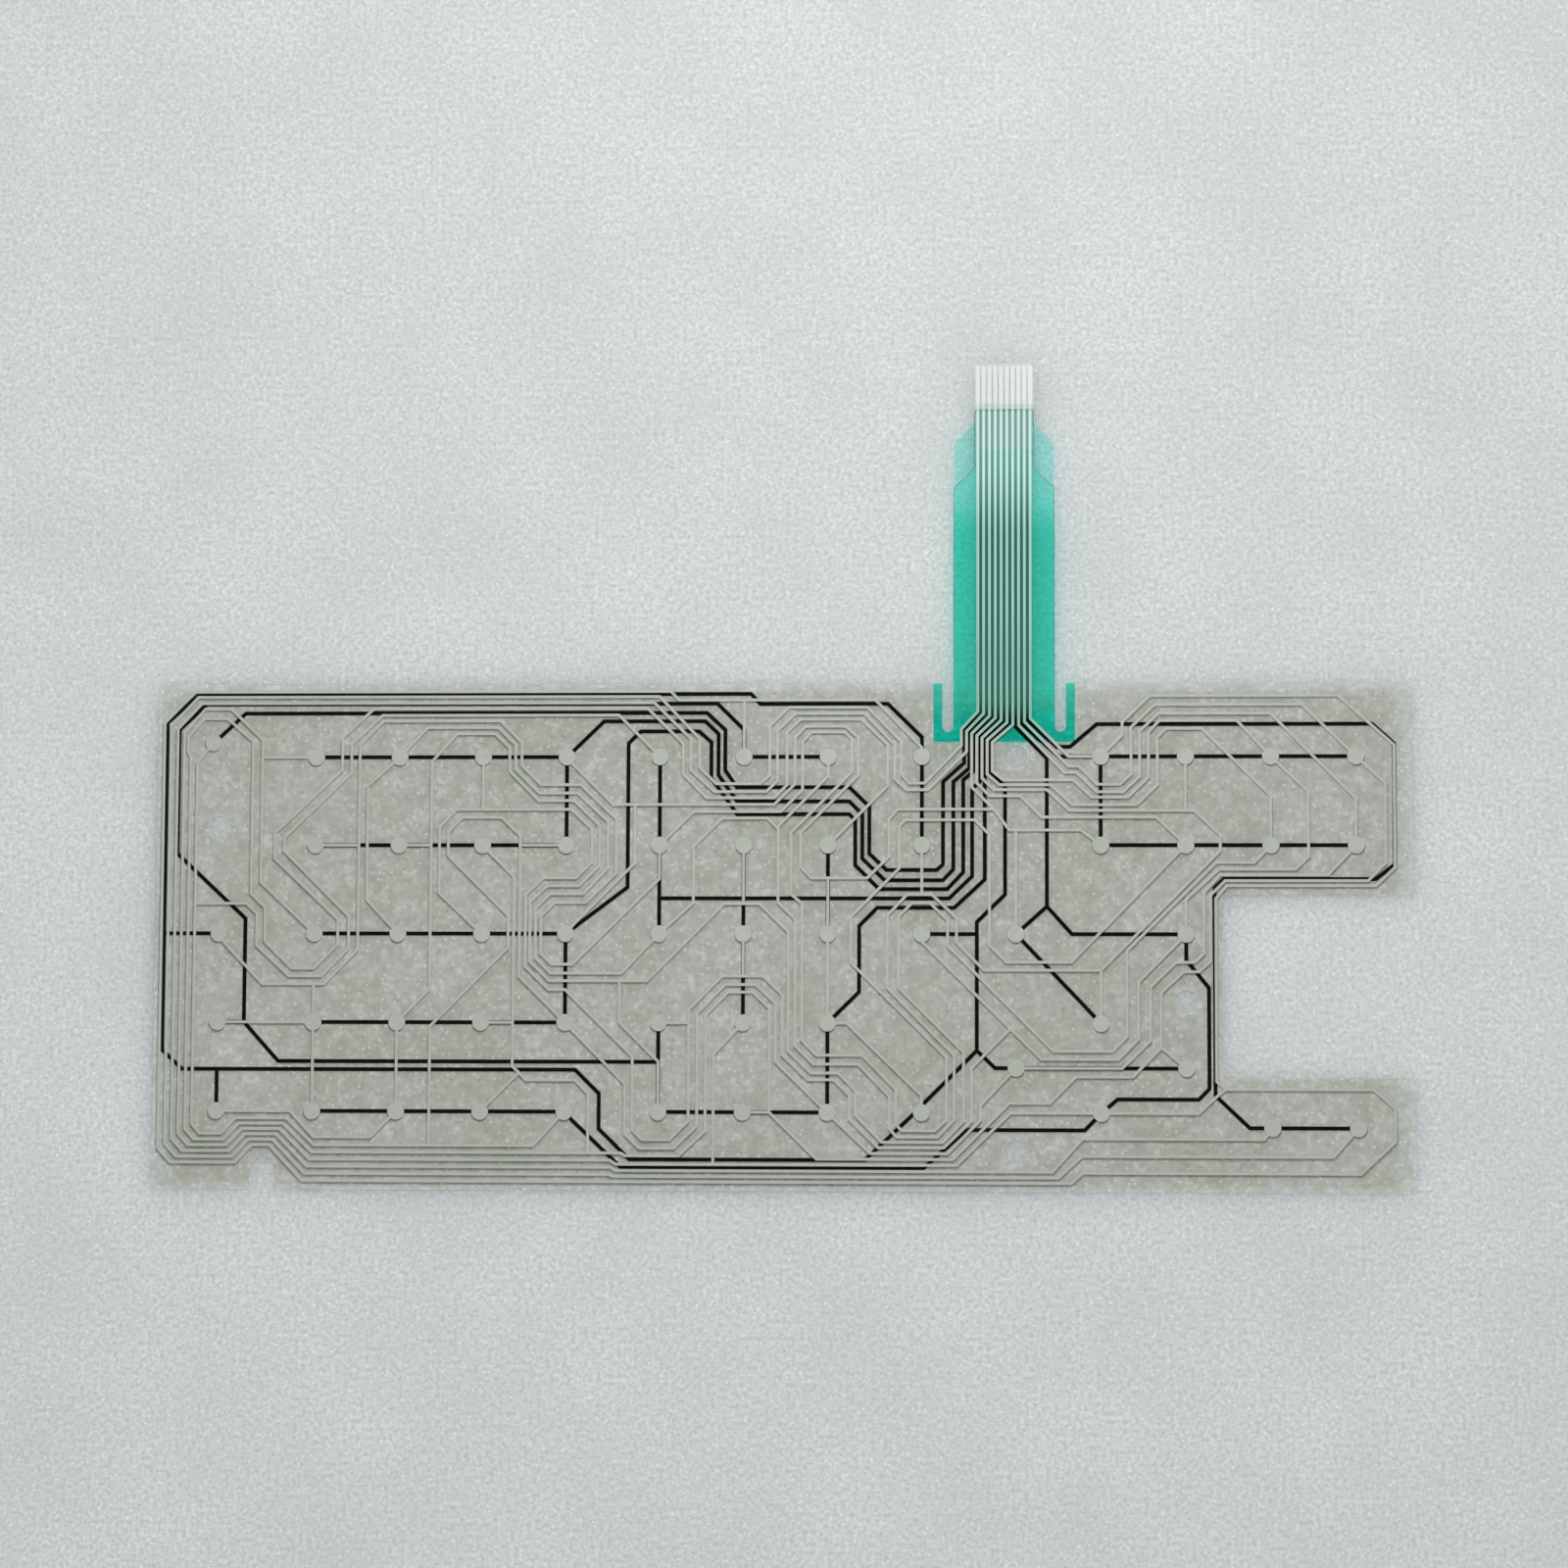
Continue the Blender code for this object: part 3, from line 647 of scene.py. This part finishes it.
class SheetTree(PieceTree):
    """Flat sheet with rounded corners and round holes, from an outline."""

    def __init__(self) -> None:
        """Build the tree: round the outline, set a circle on each hole point, fill and raise."""
        super().__init__("cut_sheet")
        steps = self.size("Corner Steps", "NodeSocketInt")
        sides = self.size("Hole Sides", "NodeSocketInt")
        width = self.stored("hole_diameter")
        is_hole = self.add("FunctionNodeCompare",
                           {"data_type": "FLOAT", "operation": "GREATER_THAN"}, {0: width, 1: 0.0})
        parts = self.add("GeometryNodeSeparateGeometry", {"domain": "POINT"},
                         {"Geometry": self.seed, "Selection": is_hole.outputs[0]})
        centres = self.add("GeometryNodeMeshToPoints", None, {"Mesh": parts.outputs["Selection"]})
        ring = self.add("GeometryNodeCurvePrimitiveCircle", None,
                        {"Resolution": sides, "Radius": 0.5})
        rings = self.add("GeometryNodeInstanceOnPoints", None,
                         {"Points": centres.outputs[0], "Instance": ring.outputs[0],
                          "Scale": self.stored("hole_diameter")})
        holes = self.add("GeometryNodeRealizeInstances", None, {"Geometry": rings.outputs[0]})
        edge = self.add("GeometryNodeMeshToCurve", None, {"Mesh": parts.outputs["Inverted"]})
        rounded = self.add("GeometryNodeFilletCurve", {"mode": "POLY"},
                           {"Curve": edge.outputs[0], "Count": steps,
                            "Radius": self.stored("corner_radius"), "Limit Radius": True})
        curves = self.add("GeometryNodeJoinGeometry")
        self.tree.links.new(rounded.outputs[0], curves.inputs[0])
        self.tree.links.new(holes.outputs[0], curves.inputs[0])
        self.close(self.raise_body(curves.outputs[0]))


class PadTree(PieceTree):
    """Round pads, one on each point of the seed."""

    def __init__(self) -> None:
        """Build the tree: raise one disc and set it on every point."""
        super().__init__("contact_pads")
        diameter = self.size("Diameter")
        sides = self.size("Sides", "NodeSocketInt")
        ring = self.add("GeometryNodeCurvePrimitiveCircle", None,
                        {"Resolution": sides, "Radius": 0.5})
        scaled = self.add("GeometryNodeTransform", None, {"Geometry": ring.outputs[0]})
        self.tree.links.new(diameter, scaled.inputs["Scale"])
        centres = self.add("GeometryNodeMeshToPoints", None, {"Mesh": self.seed})
        disc = self.raise_body(scaled.outputs[0])
        pads = self.add("GeometryNodeInstanceOnPoints", None,
                        {"Points": centres.outputs[0], "Instance": disc})
        self.close(pads.outputs[0])


class FingerTree(PieceTree):
    """Row of contact fingers with rounded corners, one on each point of the seed."""

    def __init__(self) -> None:
        """Build the tree: raise one rounded strip and set it on every point."""
        super().__init__("contact_fingers")
        width = self.size("Width")
        length = self.size("Length")
        radius = self.size("Corner Radius")
        steps = self.size("Corner Steps", "NodeSocketInt")
        strip = self.add("GeometryNodeCurvePrimitiveQuadrilateral", None,
                         {"Width": width, "Height": length})
        rounded = self.add("GeometryNodeFilletCurve", {"mode": "POLY"},
                           {"Curve": strip.outputs[0], "Count": steps, "Radius": radius,
                            "Limit Radius": True})
        centres = self.add("GeometryNodeMeshToPoints", None, {"Mesh": self.seed})
        fingers = self.add("GeometryNodeInstanceOnPoints", None,
                           {"Points": centres.outputs[0],
                            "Instance": self.raise_body(rounded.outputs[0])})
        self.close(fingers.outputs[0])


class ShadowStripTree(PieceTree):
    """Thin flat strip that follows an open path."""

    def __init__(self) -> None:
        """Build the tree: sweep a rectangle along the path."""
        super().__init__("film_edge_shadow")
        width = self.size("Width")
        path = self.add("GeometryNodeMeshToCurve", None, {"Mesh": self.seed})
        rounded = self.add("GeometryNodeFilletCurve", {"mode": "POLY"},
                           {"Curve": path.outputs[0], "Count": CORNER_STEPS,
                            "Radius": self.stored("corner_radius"), "Limit Radius": True})
        level = self.add("GeometryNodeSetCurveNormal", {"mode": "Z_UP"},
                         {"Curve": rounded.outputs[0]})
        section = self.add("GeometryNodeCurvePrimitiveQuadrilateral", None,
                           {"Width": width, "Height": self.thickness})
        strip = self.add("GeometryNodeCurveToMesh", None,
                         {"Curve": level.outputs[0], "Profile Curve": section.outputs[0],
                          "Fill Caps": True})
        self.close(strip.outputs[0])


def point_mesh(name: str, points: list[Point]) -> bpy.types.Mesh:
    """Mesh of loose points on the plane.

    Args:
        name: Name of the mesh.
        points: Their places in millimetres.

    Returns:
        The mesh, at height 0.
    """
    mesh = bpy.data.meshes.new(name)
    mesh.from_pydata([(x * MM, y * MM, 0.0) for x, y in points], [], [])
    return mesh


@dataclass
class KeyField:
    """Grid of the key contacts: columns from 0 at the left, rows from 1 at the top."""

    first_pitch: float = 20.7
    column_pitch: float = 18.1
    block_pitch: float = 20.1
    block_starts: tuple[int, ...] = (5, 8, 9)
    last_column: int = 13
    row_pitch: float = 19.05
    last_row: int = 5
    left_margin: float = 13.9
    right_margin: float = 12.1
    top_margin: float = 15.8
    bottom_margin: float = 16.7
    tail_length: float = 69.4
    rows: dict[int, tuple[int, ...]] = field(default_factory=lambda: {
        1: (1, 2, 3, 4, 5, 6, 7, 8, 10, 11, 12, 13),
        2: (1, 2, 3, 4, 5, 6, 7, 8, 10, 11, 12, 13),
        3: (0, 1, 2, 3, 4, 5, 6, 7, 8, 9, 11),
        4: (0, 1, 2, 3, 4, 5, 6, 7, 10),
        5: (0, 1, 2, 3, 4, 5, 6, 7, 8, 10),
    })
    odd_keys: tuple[Point, ...] = ((-0.085, 0.835), (9, 4.5), (11, 4.5), (12, 5.16), (13, 5.16))

    def columns(self) -> list[float]:
        """Add up the pitches of the key columns.

        Returns:
            Distance of every column from the sheet's left edge.
        """
        places = [self.left_margin, self.left_margin + self.first_pitch]
        for column in range(2, self.last_column + 1):
            wide = column in self.block_starts
            places.append(places[-1] + (self.block_pitch if wide else self.column_pitch))
        return places

    @property
    def right(self) -> float:
        """X of the sheet's right edge; the left edge is as far the other way."""
        return (self.columns()[-1] + self.right_margin) / 2

    @property
    def height(self) -> float:
        """Depth of the sheet without its tail."""
        return self.top_margin + (self.last_row - 1) * self.row_pitch + self.bottom_margin

    @property
    def top(self) -> float:
        """Y of the sheet's top edge."""
        return (self.height - self.tail_length) / 2

    @property
    def bottom(self) -> float:
        """Y of the sheet's bottom edge."""
        return self.top - self.height

    def x(self, column: float) -> float:
        """Find a key column, whole or fractional.

        Args:
            column: Its number, counted from 0.

        Returns:
            Its X.
        """
        places = self.columns()
        index = min(max(int(math.floor(column)), 0), self.last_column - 1)
        pitch = places[index + 1] - places[index]
        return places[index] + (column - index) * pitch - self.right

    def y(self, row: float) -> float:
        """Y of a key row, whole or fractional."""
        return self.top - self.top_margin - (row - 1) * self.row_pitch

    def keys(self) -> list[Point]:
        """Place of every key contact."""
        on_rows = [(column, row) for row, columns in self.rows.items() for column in columns]
        return [(self.x(column), self.y(row)) for column, row in [*on_rows, *self.odd_keys]]


@dataclass
class Tail:
    """Tail of one film: a wide root, sloped shoulders and a narrower tip."""

    x: float
    root: float
    length: float
    width: float = 21.7
    tip_width: float = 12.8
    tip_length: float = 12.7
    corner: float = 0.9
    shoulder_corner: float = 1.2
    bare_corner: float = 0.2

    @property
    def end(self) -> float:
        """Y of the tip's end."""
        return self.root + self.length

    def corners(self, inset: float = 0.0, bare: float = 0.0) -> list[tuple[float, float, float]]:
        """Outline from the right shoulder round the tip to the left shoulder.

        Args:
            inset: How far it stays inside the tail's edge.
            bare: How far it stops short of the tip's end.

        Returns:
            Corners with their radii.
        """
        wide = self.width / 2 - inset
        tip = self.tip_width / 2 - inset
        neck = self.end - self.tip_length
        shoulder = neck - (wide - tip)
        end, corner = self.end - bare, self.bare_corner if bare else self.corner
        right = [(wide, shoulder, self.shoulder_corner), (tip, neck, self.shoulder_corner),
                 (tip, end, corner)]
        return [*((self.x + x, y, radius) for x, y, radius in right),
                *((self.x - x, y, radius) for x, y, radius in reversed(right))]


@dataclass
class OpenSlot:
    """Slot that is open at an edge and round at its end."""

    x: float
    mouth: float
    end: float
    width: float
    mouth_corner: float = 0.3
    steps: int = 16

    def corners(self, way: int) -> list[tuple[float, float, float]]:
        """Outline of the slot, from one rim to the other.

        Args:
            way: 1 to run from left to right, -1 from right to left.

        Returns:
            Corners with their radii.
        """
        radius = self.width / 2
        up = 1 if self.end > self.mouth else -1
        centre = self.end - up * radius
        arc = [(self.x - way * radius * math.cos(math.pi * i / self.steps),
                centre + up * radius * math.sin(math.pi * i / self.steps), 0.0)
               for i in range(self.steps + 1)]
        return [(self.x - way * radius, self.mouth, self.mouth_corner), *arc,
                (self.x + way * radius, self.mouth, self.mouth_corner)]


@dataclass
class Keypad:
    """Sizes that the films, the spacer and the ink share."""

    field: KeyField = field(default_factory=KeyField)
    arm_column: float = 11 + 5 / 12
    arm_rows: Point = (2 + 9 / 16, 4 + 3 / 5)
    tail_column: float = 8 + 7 / 8
    tail_step: float = 9.9
    slot_width: float = 2.4
    slot_depth: float = 10.5
    notch_column: float = 1 / 2
    notch_width: float = 5.4
    notch_depth: float = 7.0
    locating_diameter: float = 5.0
    locating_holes: tuple[Point, ...] = ((0, 1.8), (9, 1), (9, 5.43), (11, 3.76))
    corner: float = 0.8
    contact_length: float = 8.7
    line_pitch: float = 1.25
    line_count: int = 10

    @property
    def tail_x(self) -> float:
        """X of the tail's middle."""
        return self.field.x(self.tail_column)

    def tail(self, layer: Layer) -> Tail:
        """Tail of one film; the lower one stops a step short of the upper one."""
        short = self.tail_step if layer is Layer.LOWER else 0.0
        return Tail(self.tail_x, self.field.top, self.field.tail_length - short)

    def slots(self) -> tuple[OpenSlot, OpenSlot]:
        """Place the relief slots beside the tail's root.

        Returns:
            The left and the right slot.
        """
        offset = (self.tail(Layer.UPPER).width + self.slot_width) / 2
        top = self.field.top
        return tuple(OpenSlot(self.tail_x + side * offset, top, top - self.slot_depth,
                              self.slot_width) for side in (-1, 1))

    def holes(self, extra: float = 0.0) -> list[tuple[float, float, float]]:
        """Locating holes, wider by extra."""
        return [(self.field.x(column), self.field.y(row), self.locating_diameter + extra)
                for column, row in self.locating_holes]

    def sheet_edge(self) -> list[tuple[float, float, float]]:
        """Follow the edge from the top left down, along the bottom and up to the top right.

        Returns:
            Corners with their radii.
        """
        right, left = self.field.right, -self.field.right
        top, bottom = self.field.top, self.field.bottom
        notch = OpenSlot(self.field.x(self.notch_column), bottom, bottom + self.notch_depth,
                         self.notch_width)
        arm = self.field.x(self.arm_column)
        upper, lower = (self.field.y(row) for row in self.arm_rows)
        turns = [(right, bottom), (right, lower), (arm, lower), (arm, upper), (right, upper),
                 (right, top)]
        return [(left, top, self.corner), (left, bottom, self.corner), *notch.corners(1),
                *((x, y, self.corner) for x, y in turns)]

    def edge_light_rim(self) -> EdgeLightRim:
        """Painted light: the clearer rim that the films and the spacer share, for their brighter
        margins.
        """
        return EdgeLightRim(tint=(0.9962, 0.9962, 0.9952), right=self.field.right,
                        top=self.field.top, bottom=self.field.bottom)

    def film_outline(self, layer: Layer) -> Outline:
        """Join the sheet's edge, the slots and the tail of one film.

        Args:
            layer: The film.

        Returns:
            Its outline with the locating holes.
        """
        left, right = self.slots()
        corners = [*self.sheet_edge(), *right.corners(-1)[:-1],
                   *self.tail(layer).corners(), *left.corners(-1)[1:]]
        return Outline(corners, self.holes())


@dataclass
class Films:
    """Two clear films and the perforated spacer between them."""

    keypad: Keypad
    tree: SheetTree
    gap: float = 0.003
    film_thickness: float = 0.125
    lower_bottom: float = 0.0
    spacer_bottom: float = 0.145
    spacer_thickness: float = 0.16
    upper_bottom: float = 0.325
    clearance: float = 0.4
    key_hole: float = 5.2
    ink_width: float = 30.3
    ink_depth: float = 12.6
    recess_corner: float = 0.6
    edge_shadow_width: float = 0.12
    edge_shadow_inset: float = 0.01
    edge_shadow_start: float = 1.0
    edge_shadow_thickness: float = 0.015

    def cut(self, name: str, outline: Outline, bottom: float, thickness: float,
            finish: ClearSheet, node: str) -> bpy.types.Object:
        """Cut one sheet and let it stand for its solid.

        Args:
            name: Name of the piece.
            outline: Its outline and holes.
            bottom: Height of its underside in millimetres.
            thickness: Its thickness in millimetres.
            finish: Its finish.
            node: The solid that it stands for.

        Returns:
            The finished sheet.
        """
        sizes = {"Thickness": thickness * MM, "Bottom": bottom * MM, "Finish": finish.material(),
                 "Corner Steps": CORNER_STEPS, "Hole Sides": HOLE_SIDES}
        piece = self.tree.make(name, outline.mesh(name + "_outline"), sizes)
        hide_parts(node)
        return piece

    def build(self) -> None:
        """Make the lower film, the spacer and the upper film."""
        rim = self.keypad.edge_light_rim()
        lower = ClearSheet("clear_film_lower", tint=(0.9925, 0.9885, 0.9875),
                           body=(0.945, 0.98, 0.94), haze=0.36, roughness=0.55, gloss=0.2,
                           tail_haze=0.04, grain=0.8, rim=rim)
        upper = ClearSheet("clear_film_upper", tint=(0.9920, 0.9884, 0.9870),
                           body=(0.10, 0.11, 0.09), haze=0.0, rim=rim)
        self.cut("lower_film_sheet", self.keypad.film_outline(Layer.LOWER), self.lower_bottom,
                 self.film_thickness - self.gap, lower, "lower_film")
        self.cut("upper_film_sheet", self.keypad.film_outline(Layer.UPPER),
                 self.upper_bottom + self.gap, self.film_thickness - self.gap, upper, "upper_film")
        self.build_spacer()
        self.build_edge_shadow()

    def build_edge_shadow(self) -> bpy.types.Object:
        """Draw a painted shadow: a thin dark strip along the cut edge of the lower film's tail.

        Returns:
            The rim.
        """
        tail = self.keypad.tail(Layer.LOWER)
        path = tail.corners(self.edge_shadow_width / 2 + self.edge_shadow_inset)
        feet = [(x, tail.root + self.edge_shadow_start, 0.0) for x in (path[0][0], path[-1][0])]
        # Painted shadow: a dark see-through strip where the film's edge shades it.
        finish = ClearSheet("film_edge_shadow", tint=(0.80, 0.90, 0.88), body=(0.02, 0.14, 0.11),
                            haze=0.35)
        sizes = {"Thickness": self.edge_shadow_thickness * MM, "Width": self.edge_shadow_width * MM,
                 "Bottom": (self.film_thickness + self.edge_shadow_thickness / 2) * MM,
                 "Finish": finish.material()}
        outline = Outline([feet[0], *path, feet[1]], closed=False)
        piece = ShadowStripTree().make("lower_film_edge_shadow", outline.mesh("edge_shadow_path"), sizes)
        return piece

    def build_spacer(self) -> bpy.types.Object:
        """Cut the spacer, with a hole at every key and a recess round the green ink.

        Returns:
            The spacer.
        """
        x, top = self.keypad.tail_x, self.keypad.field.top
        half = self.ink_width / 2 + self.clearance
        foot = top - self.ink_depth - self.clearance
        mouth = OpenSlot.mouth_corner
        recess = [(x + half, top, mouth), (x + half, foot, self.recess_corner),
                  (x - half, foot, self.recess_corner), (x - half, top, mouth)]
        holes = self.keypad.holes(2 * self.clearance)
        holes += [(kx, ky, self.key_hole) for kx, ky in self.keypad.field.keys()]
        rim = self.keypad.edge_light_rim()
        finish = ClearSheet("clear_spacer", tint=(0.9914, 0.9880, 0.9872),
                            body=(0.30, 0.31, 0.27), haze=0.0, roughness=0.5, rim=rim)
        return self.cut("spacer_sheet", Outline([*self.keypad.sheet_edge(), *recess], holes),
                        self.spacer_bottom + self.gap, self.spacer_thickness - 2 * self.gap,
                        finish, "spacer")


@dataclass
class GreenInk:
    """Green insulating ink over both prints at the tail's root and along the tail."""

    keypad: Keypad
    tree: SheetTree
    side: float = 1.9
    end: float = 2.1
    inset: float = 0.15
    corner: float = 0.4
    thickness: float = 0.02
    gap: float = 0.002
    lower_bottom: float = 0.145
    upper_bottom: float = 0.285

    def outline(self, layer: Layer) -> Outline:
        """Outline of the ink on one film.

        Args:
            layer: The film that it is printed on.

        Returns:
            The base round the slots and the strip along the tail, short of its contacts.
        """
        pad = self.keypad
        left, right = pad.slots()
        top = pad.field.top
        half = pad.tail(layer).width / 2 + pad.slot_width + self.side
        foot = top - pad.slot_depth - self.end
        mouth = OpenSlot.mouth_corner
        base = [(pad.tail_x - half, top, mouth), (pad.tail_x - half, foot, self.corner),
                (pad.tail_x + half, foot, self.corner), (pad.tail_x + half, top, mouth)]
        return Outline([*base, *right.corners(-1)[:-1],
                        *pad.tail(layer).corners(self.inset, pad.contact_length),
                        *left.corners(-1)[1:]])

    def build(self) -> None:
        """Print the ink on both films."""
        heights = {Layer.LOWER: self.lower_bottom, Layer.UPPER: self.upper_bottom}
        for layer, bottom in heights.items():
            # Painted reflection: above dense_below the ink keeps the lighter tint, for the light's
            # reflection on the glossy tail near its tip; lower down it has its own denser tint.
            finish = ClearSheet(f"green_ink_{layer.value}", tint=(0.815, 0.999, 0.99),
                                body=(0.50, 0.88, 0.74), haze=0.0, roughness=0.35, mottle=0.004,
                                dense_tint=(0.57, 0.970, 0.940), dense_below=61.0,
                                dense_run=11.0, tail_haze=0.048, tail_from=11.0, tail_to=17.0)
            sizes = {"Thickness": (self.thickness - self.gap) * MM,
                     "Bottom": (bottom + self.gap / 2) * MM, "Finish": finish.material(),
                     "Corner Steps": CORNER_STEPS, "Hole Sides": HOLE_SIDES}
            piece = self.tree.make(f"{layer.value}_green_ink",
                                   self.outline(layer).mesh("green_ink_outline"), sizes)
            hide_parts(f"{layer.value}_insulation")


@dataclass
class TipPlate:
    """Clear plate on the back of the tail's tip."""

    keypad: Keypad
    tree: SheetTree
    bottom: float = 0.453
    thickness: float = 0.187
    corner_steps: int = 6

    def build(self) -> bpy.types.Object:
        """Cut the plate with the tip's own rounded corners.

        Returns:
            The plate.
        """
        tail = self.keypad.tail(Layer.UPPER)
        half, end = tail.tip_width / 2, tail.end
        foot = end - self.keypad.tail_step
        corners = [(tail.x - half, foot, 0.0), (tail.x + half, foot, 0.0),
                   (tail.x + half, end, tail.corner), (tail.x - half, end, tail.corner)]
        finish = ClearSheet("clear_tip_plate", tint=(0.998, 0.999, 0.998),
                            body=(0.95, 0.97, 0.95), haze=0.22, glance=0.3, roughness=0.18)
        sizes = {"Thickness": self.thickness * MM, "Bottom": self.bottom * MM,
                 "Finish": finish.material(), "Corner Steps": self.corner_steps,
                 "Hole Sides": HOLE_SIDES}
        piece = self.tree.make("tail_tip_plate", Outline(corners).mesh("tip_outline"), sizes)
        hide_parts("tail_stiffener")
        return piece


@dataclass
class Print:
    """Silver lines under the upper film and black ones on the lower, with pads and fingers."""

    keypad: Keypad
    pads: PadTree
    fingers: FingerTree
    pad_diameter: float = 3.6
    pad_sides: int = 40
    finger_width: float = 0.84
    finger_corner: float = 0.12
    finger_corner_steps: int = 4
    setback: float = 0.4
    lower_shift: float = 0.5
    skin: float = 0.0012
    thickness: float = 0.02
    lower_bottom: float = 0.125
    upper_bottom: float = 0.305
    lines: dict[Layer, tuple[str, int]] = field(default_factory=lambda: {
        Layer.UPPER: ("upper_silver_line_", 10), Layer.LOWER: ("lower_carbon_line_", 9)})

    def finish(self, layer: Layer) -> bpy.types.Material:
        """Choose the finish of one print.

        Args:
            layer: The print.

        Returns:
            Silver above, carbon below.
        """
        if layer is Layer.UPPER:
            return SilverPrint("silver_print", middle=self.keypad.tail_x).material()
        return CarbonPrint("carbon_print").material()

    def build(self) -> None:
        """Dress the lines of both prints and add their pads and fingers."""
        heights = {Layer.UPPER: self.upper_bottom, Layer.LOWER: self.lower_bottom}
        for layer, (stem, count) in self.lines.items():
            material = self.finish(layer)
            for number in range(1, count + 1):
                dress(f"{stem}{number}", material)
            sizes = {"Thickness": (self.thickness + 2 * self.skin) * MM,
                     "Bottom": (heights[layer] - self.skin) * MM, "Finish": material}
            pads = self.pads.make(f"{layer.value}_contact_pads",
                                  point_mesh("pad_points", self.keypad.field.keys()),
                                  {**sizes, "Diameter": self.pad_diameter * MM,
                                   "Sides": self.pad_sides})
            length = self.keypad.contact_length - self.setback
            middle = self.keypad.tail(layer).end - self.setback - length / 2
            shift = (self.keypad.line_count + 1) / 2
            if layer is Layer.LOWER:
                shift -= self.lower_shift
            row = [(self.keypad.tail_x + (lane - shift) * self.keypad.line_pitch, middle)
                   for lane in range(1, count + 1)]
            tips = self.fingers.make(f"{layer.value}_contact_fingers",
                                     point_mesh("finger_points", row),
                                     {**sizes, "Width": self.finger_width * MM,
                                      "Length": length * MM,
                                      "Corner Radius": self.finger_corner * MM,
                                      "Corner Steps": self.finger_corner_steps})


def dress(node: str, material: bpy.types.Material) -> None:
    """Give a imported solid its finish.

    Args:
        node: Name of the solid.
        material: Its new material.
    """
    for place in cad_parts[node].material_slots:
        place.material = material
    LOG.info("%s: dressed as %s", node, material.name)


@dataclass
class Studio:
    """Floor, light and camera."""

    floor_span: float = 4000.0
    floor_gap: float = 0.03
    sky: float = 0.33
    sky_colour: Colour = (1.0, 1.0, 1.0)
    lamp_place: tuple[float, float, float] = (25.0, 215.0, 150.0)
    lamp_radius: float = 12.0
    lamp_power: float = 116.0
    lamp_reach: float = 0.68
    camera_place: tuple[float, float, float] = (52.2, -93.035, 941.271)
    camera_turn: tuple[float, float, float] = (5.529, 3.1054, 0.2521)
    camera_lens: float = 101.25
    camera_sensor: float = 36.0
    camera_clip: Point = (0.01, 20.0)

    def build(self) -> None:
        """Lay the floor, hang the lamp, and set the sky and the camera."""
        self.lay_floor()
        self.hang_lamp()
        self.set_sky()
        self.set_camera()

    def lay_floor(self) -> bpy.types.Object:
        """Lay a flat floor just under the keypad.

        Returns:
            The floor.
        """
        half, low = self.floor_span / 2 * MM, -self.floor_gap * MM
        mesh = bpy.data.meshes.new("floor")
        mesh.from_pydata([(-half, -half, low), (half, -half, low), (half, half, low),
                          (-half, half, low)], [], [(0, 1, 2, 3)])
        mesh.materials.append(PaleFloor().material())
        floor = bpy.data.objects.new("floor", mesh)
        bpy.context.scene.collection.objects.link(floor)
        return floor

    def hang_lamp(self) -> bpy.types.Object:
        """Hang a soft lamp beyond the tail whose light fades slowly towards the sheet's far end.

        Returns:
            The lamp.
        """
        lamp = bpy.data.lights.new("key_lamp", "POINT")
        lamp.energy = 1.0
        lamp.shadow_soft_size = self.lamp_radius * MM
        lamp.use_nodes = True
        tree = NodeTree(lamp.node_tree)
        glow = lamp.node_tree.nodes["Emission"]
        even = tree.add("ShaderNodeLightFalloff", None, {"Strength": self.lamp_power})
        path = tree.add("ShaderNodeLightPath")
        reach = tree.add("ShaderNodeMath", {"operation": "POWER"},
                         {0: path.outputs["Ray Length"], 1: self.lamp_reach})
        power = tree.add("ShaderNodeMath", {"operation": "MULTIPLY"},
                         {0: even.outputs["Constant"], 1: reach.outputs[0]})
        lamp.node_tree.links.new(power.outputs[0], glow.inputs["Strength"])
        item = bpy.data.objects.new("key_lamp", lamp)
        item.location = Vector(self.lamp_place) * MM
        bpy.context.scene.collection.objects.link(item)
        return item

    def set_sky(self) -> None:
        """Light the scene evenly from all round."""
        world = bpy.data.worlds.new("even_sky")
        world.use_nodes = True
        background = world.node_tree.nodes["Background"]
        background.inputs["Color"].default_value = opaque(self.sky_colour)
        background.inputs["Strength"].default_value = self.sky
        bpy.context.scene.world = world

    def set_camera(self) -> bpy.types.Object:
        """Set the camera where the photograph was taken from.

        Returns:
            The camera.
        """
        camera = bpy.data.cameras.new("camera")
        camera.lens = self.camera_lens
        camera.sensor_width = self.camera_sensor
        camera.clip_start, camera.clip_end = self.camera_clip
        item = bpy.data.objects.new("camera", camera)
        item.location = Vector(self.camera_place) * MM
        item.rotation_euler = Euler([math.radians(angle) for angle in self.camera_turn])
        scene = bpy.context.scene
        scene.collection.objects.link(item)
        scene.camera = item
        scene.view_settings.view_transform = "Standard"
        scene.cycles.transparent_max_bounces = LIGHT_PASSES
        return item


def main() -> None:
    """Build the keypad from the lower film up, then its studio."""
    logging.basicConfig(level=logging.INFO, format="%(message)s")
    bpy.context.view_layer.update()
    keypad = Keypad()
    sheets = SheetTree()
    Films(keypad, sheets).build()
    GreenInk(keypad, sheets).build()
    TipPlate(keypad, sheets).build()
    Print(keypad, PadTree(), FingerTree()).build()
    Studio().build()


if __name__ == "__main__":
    main()
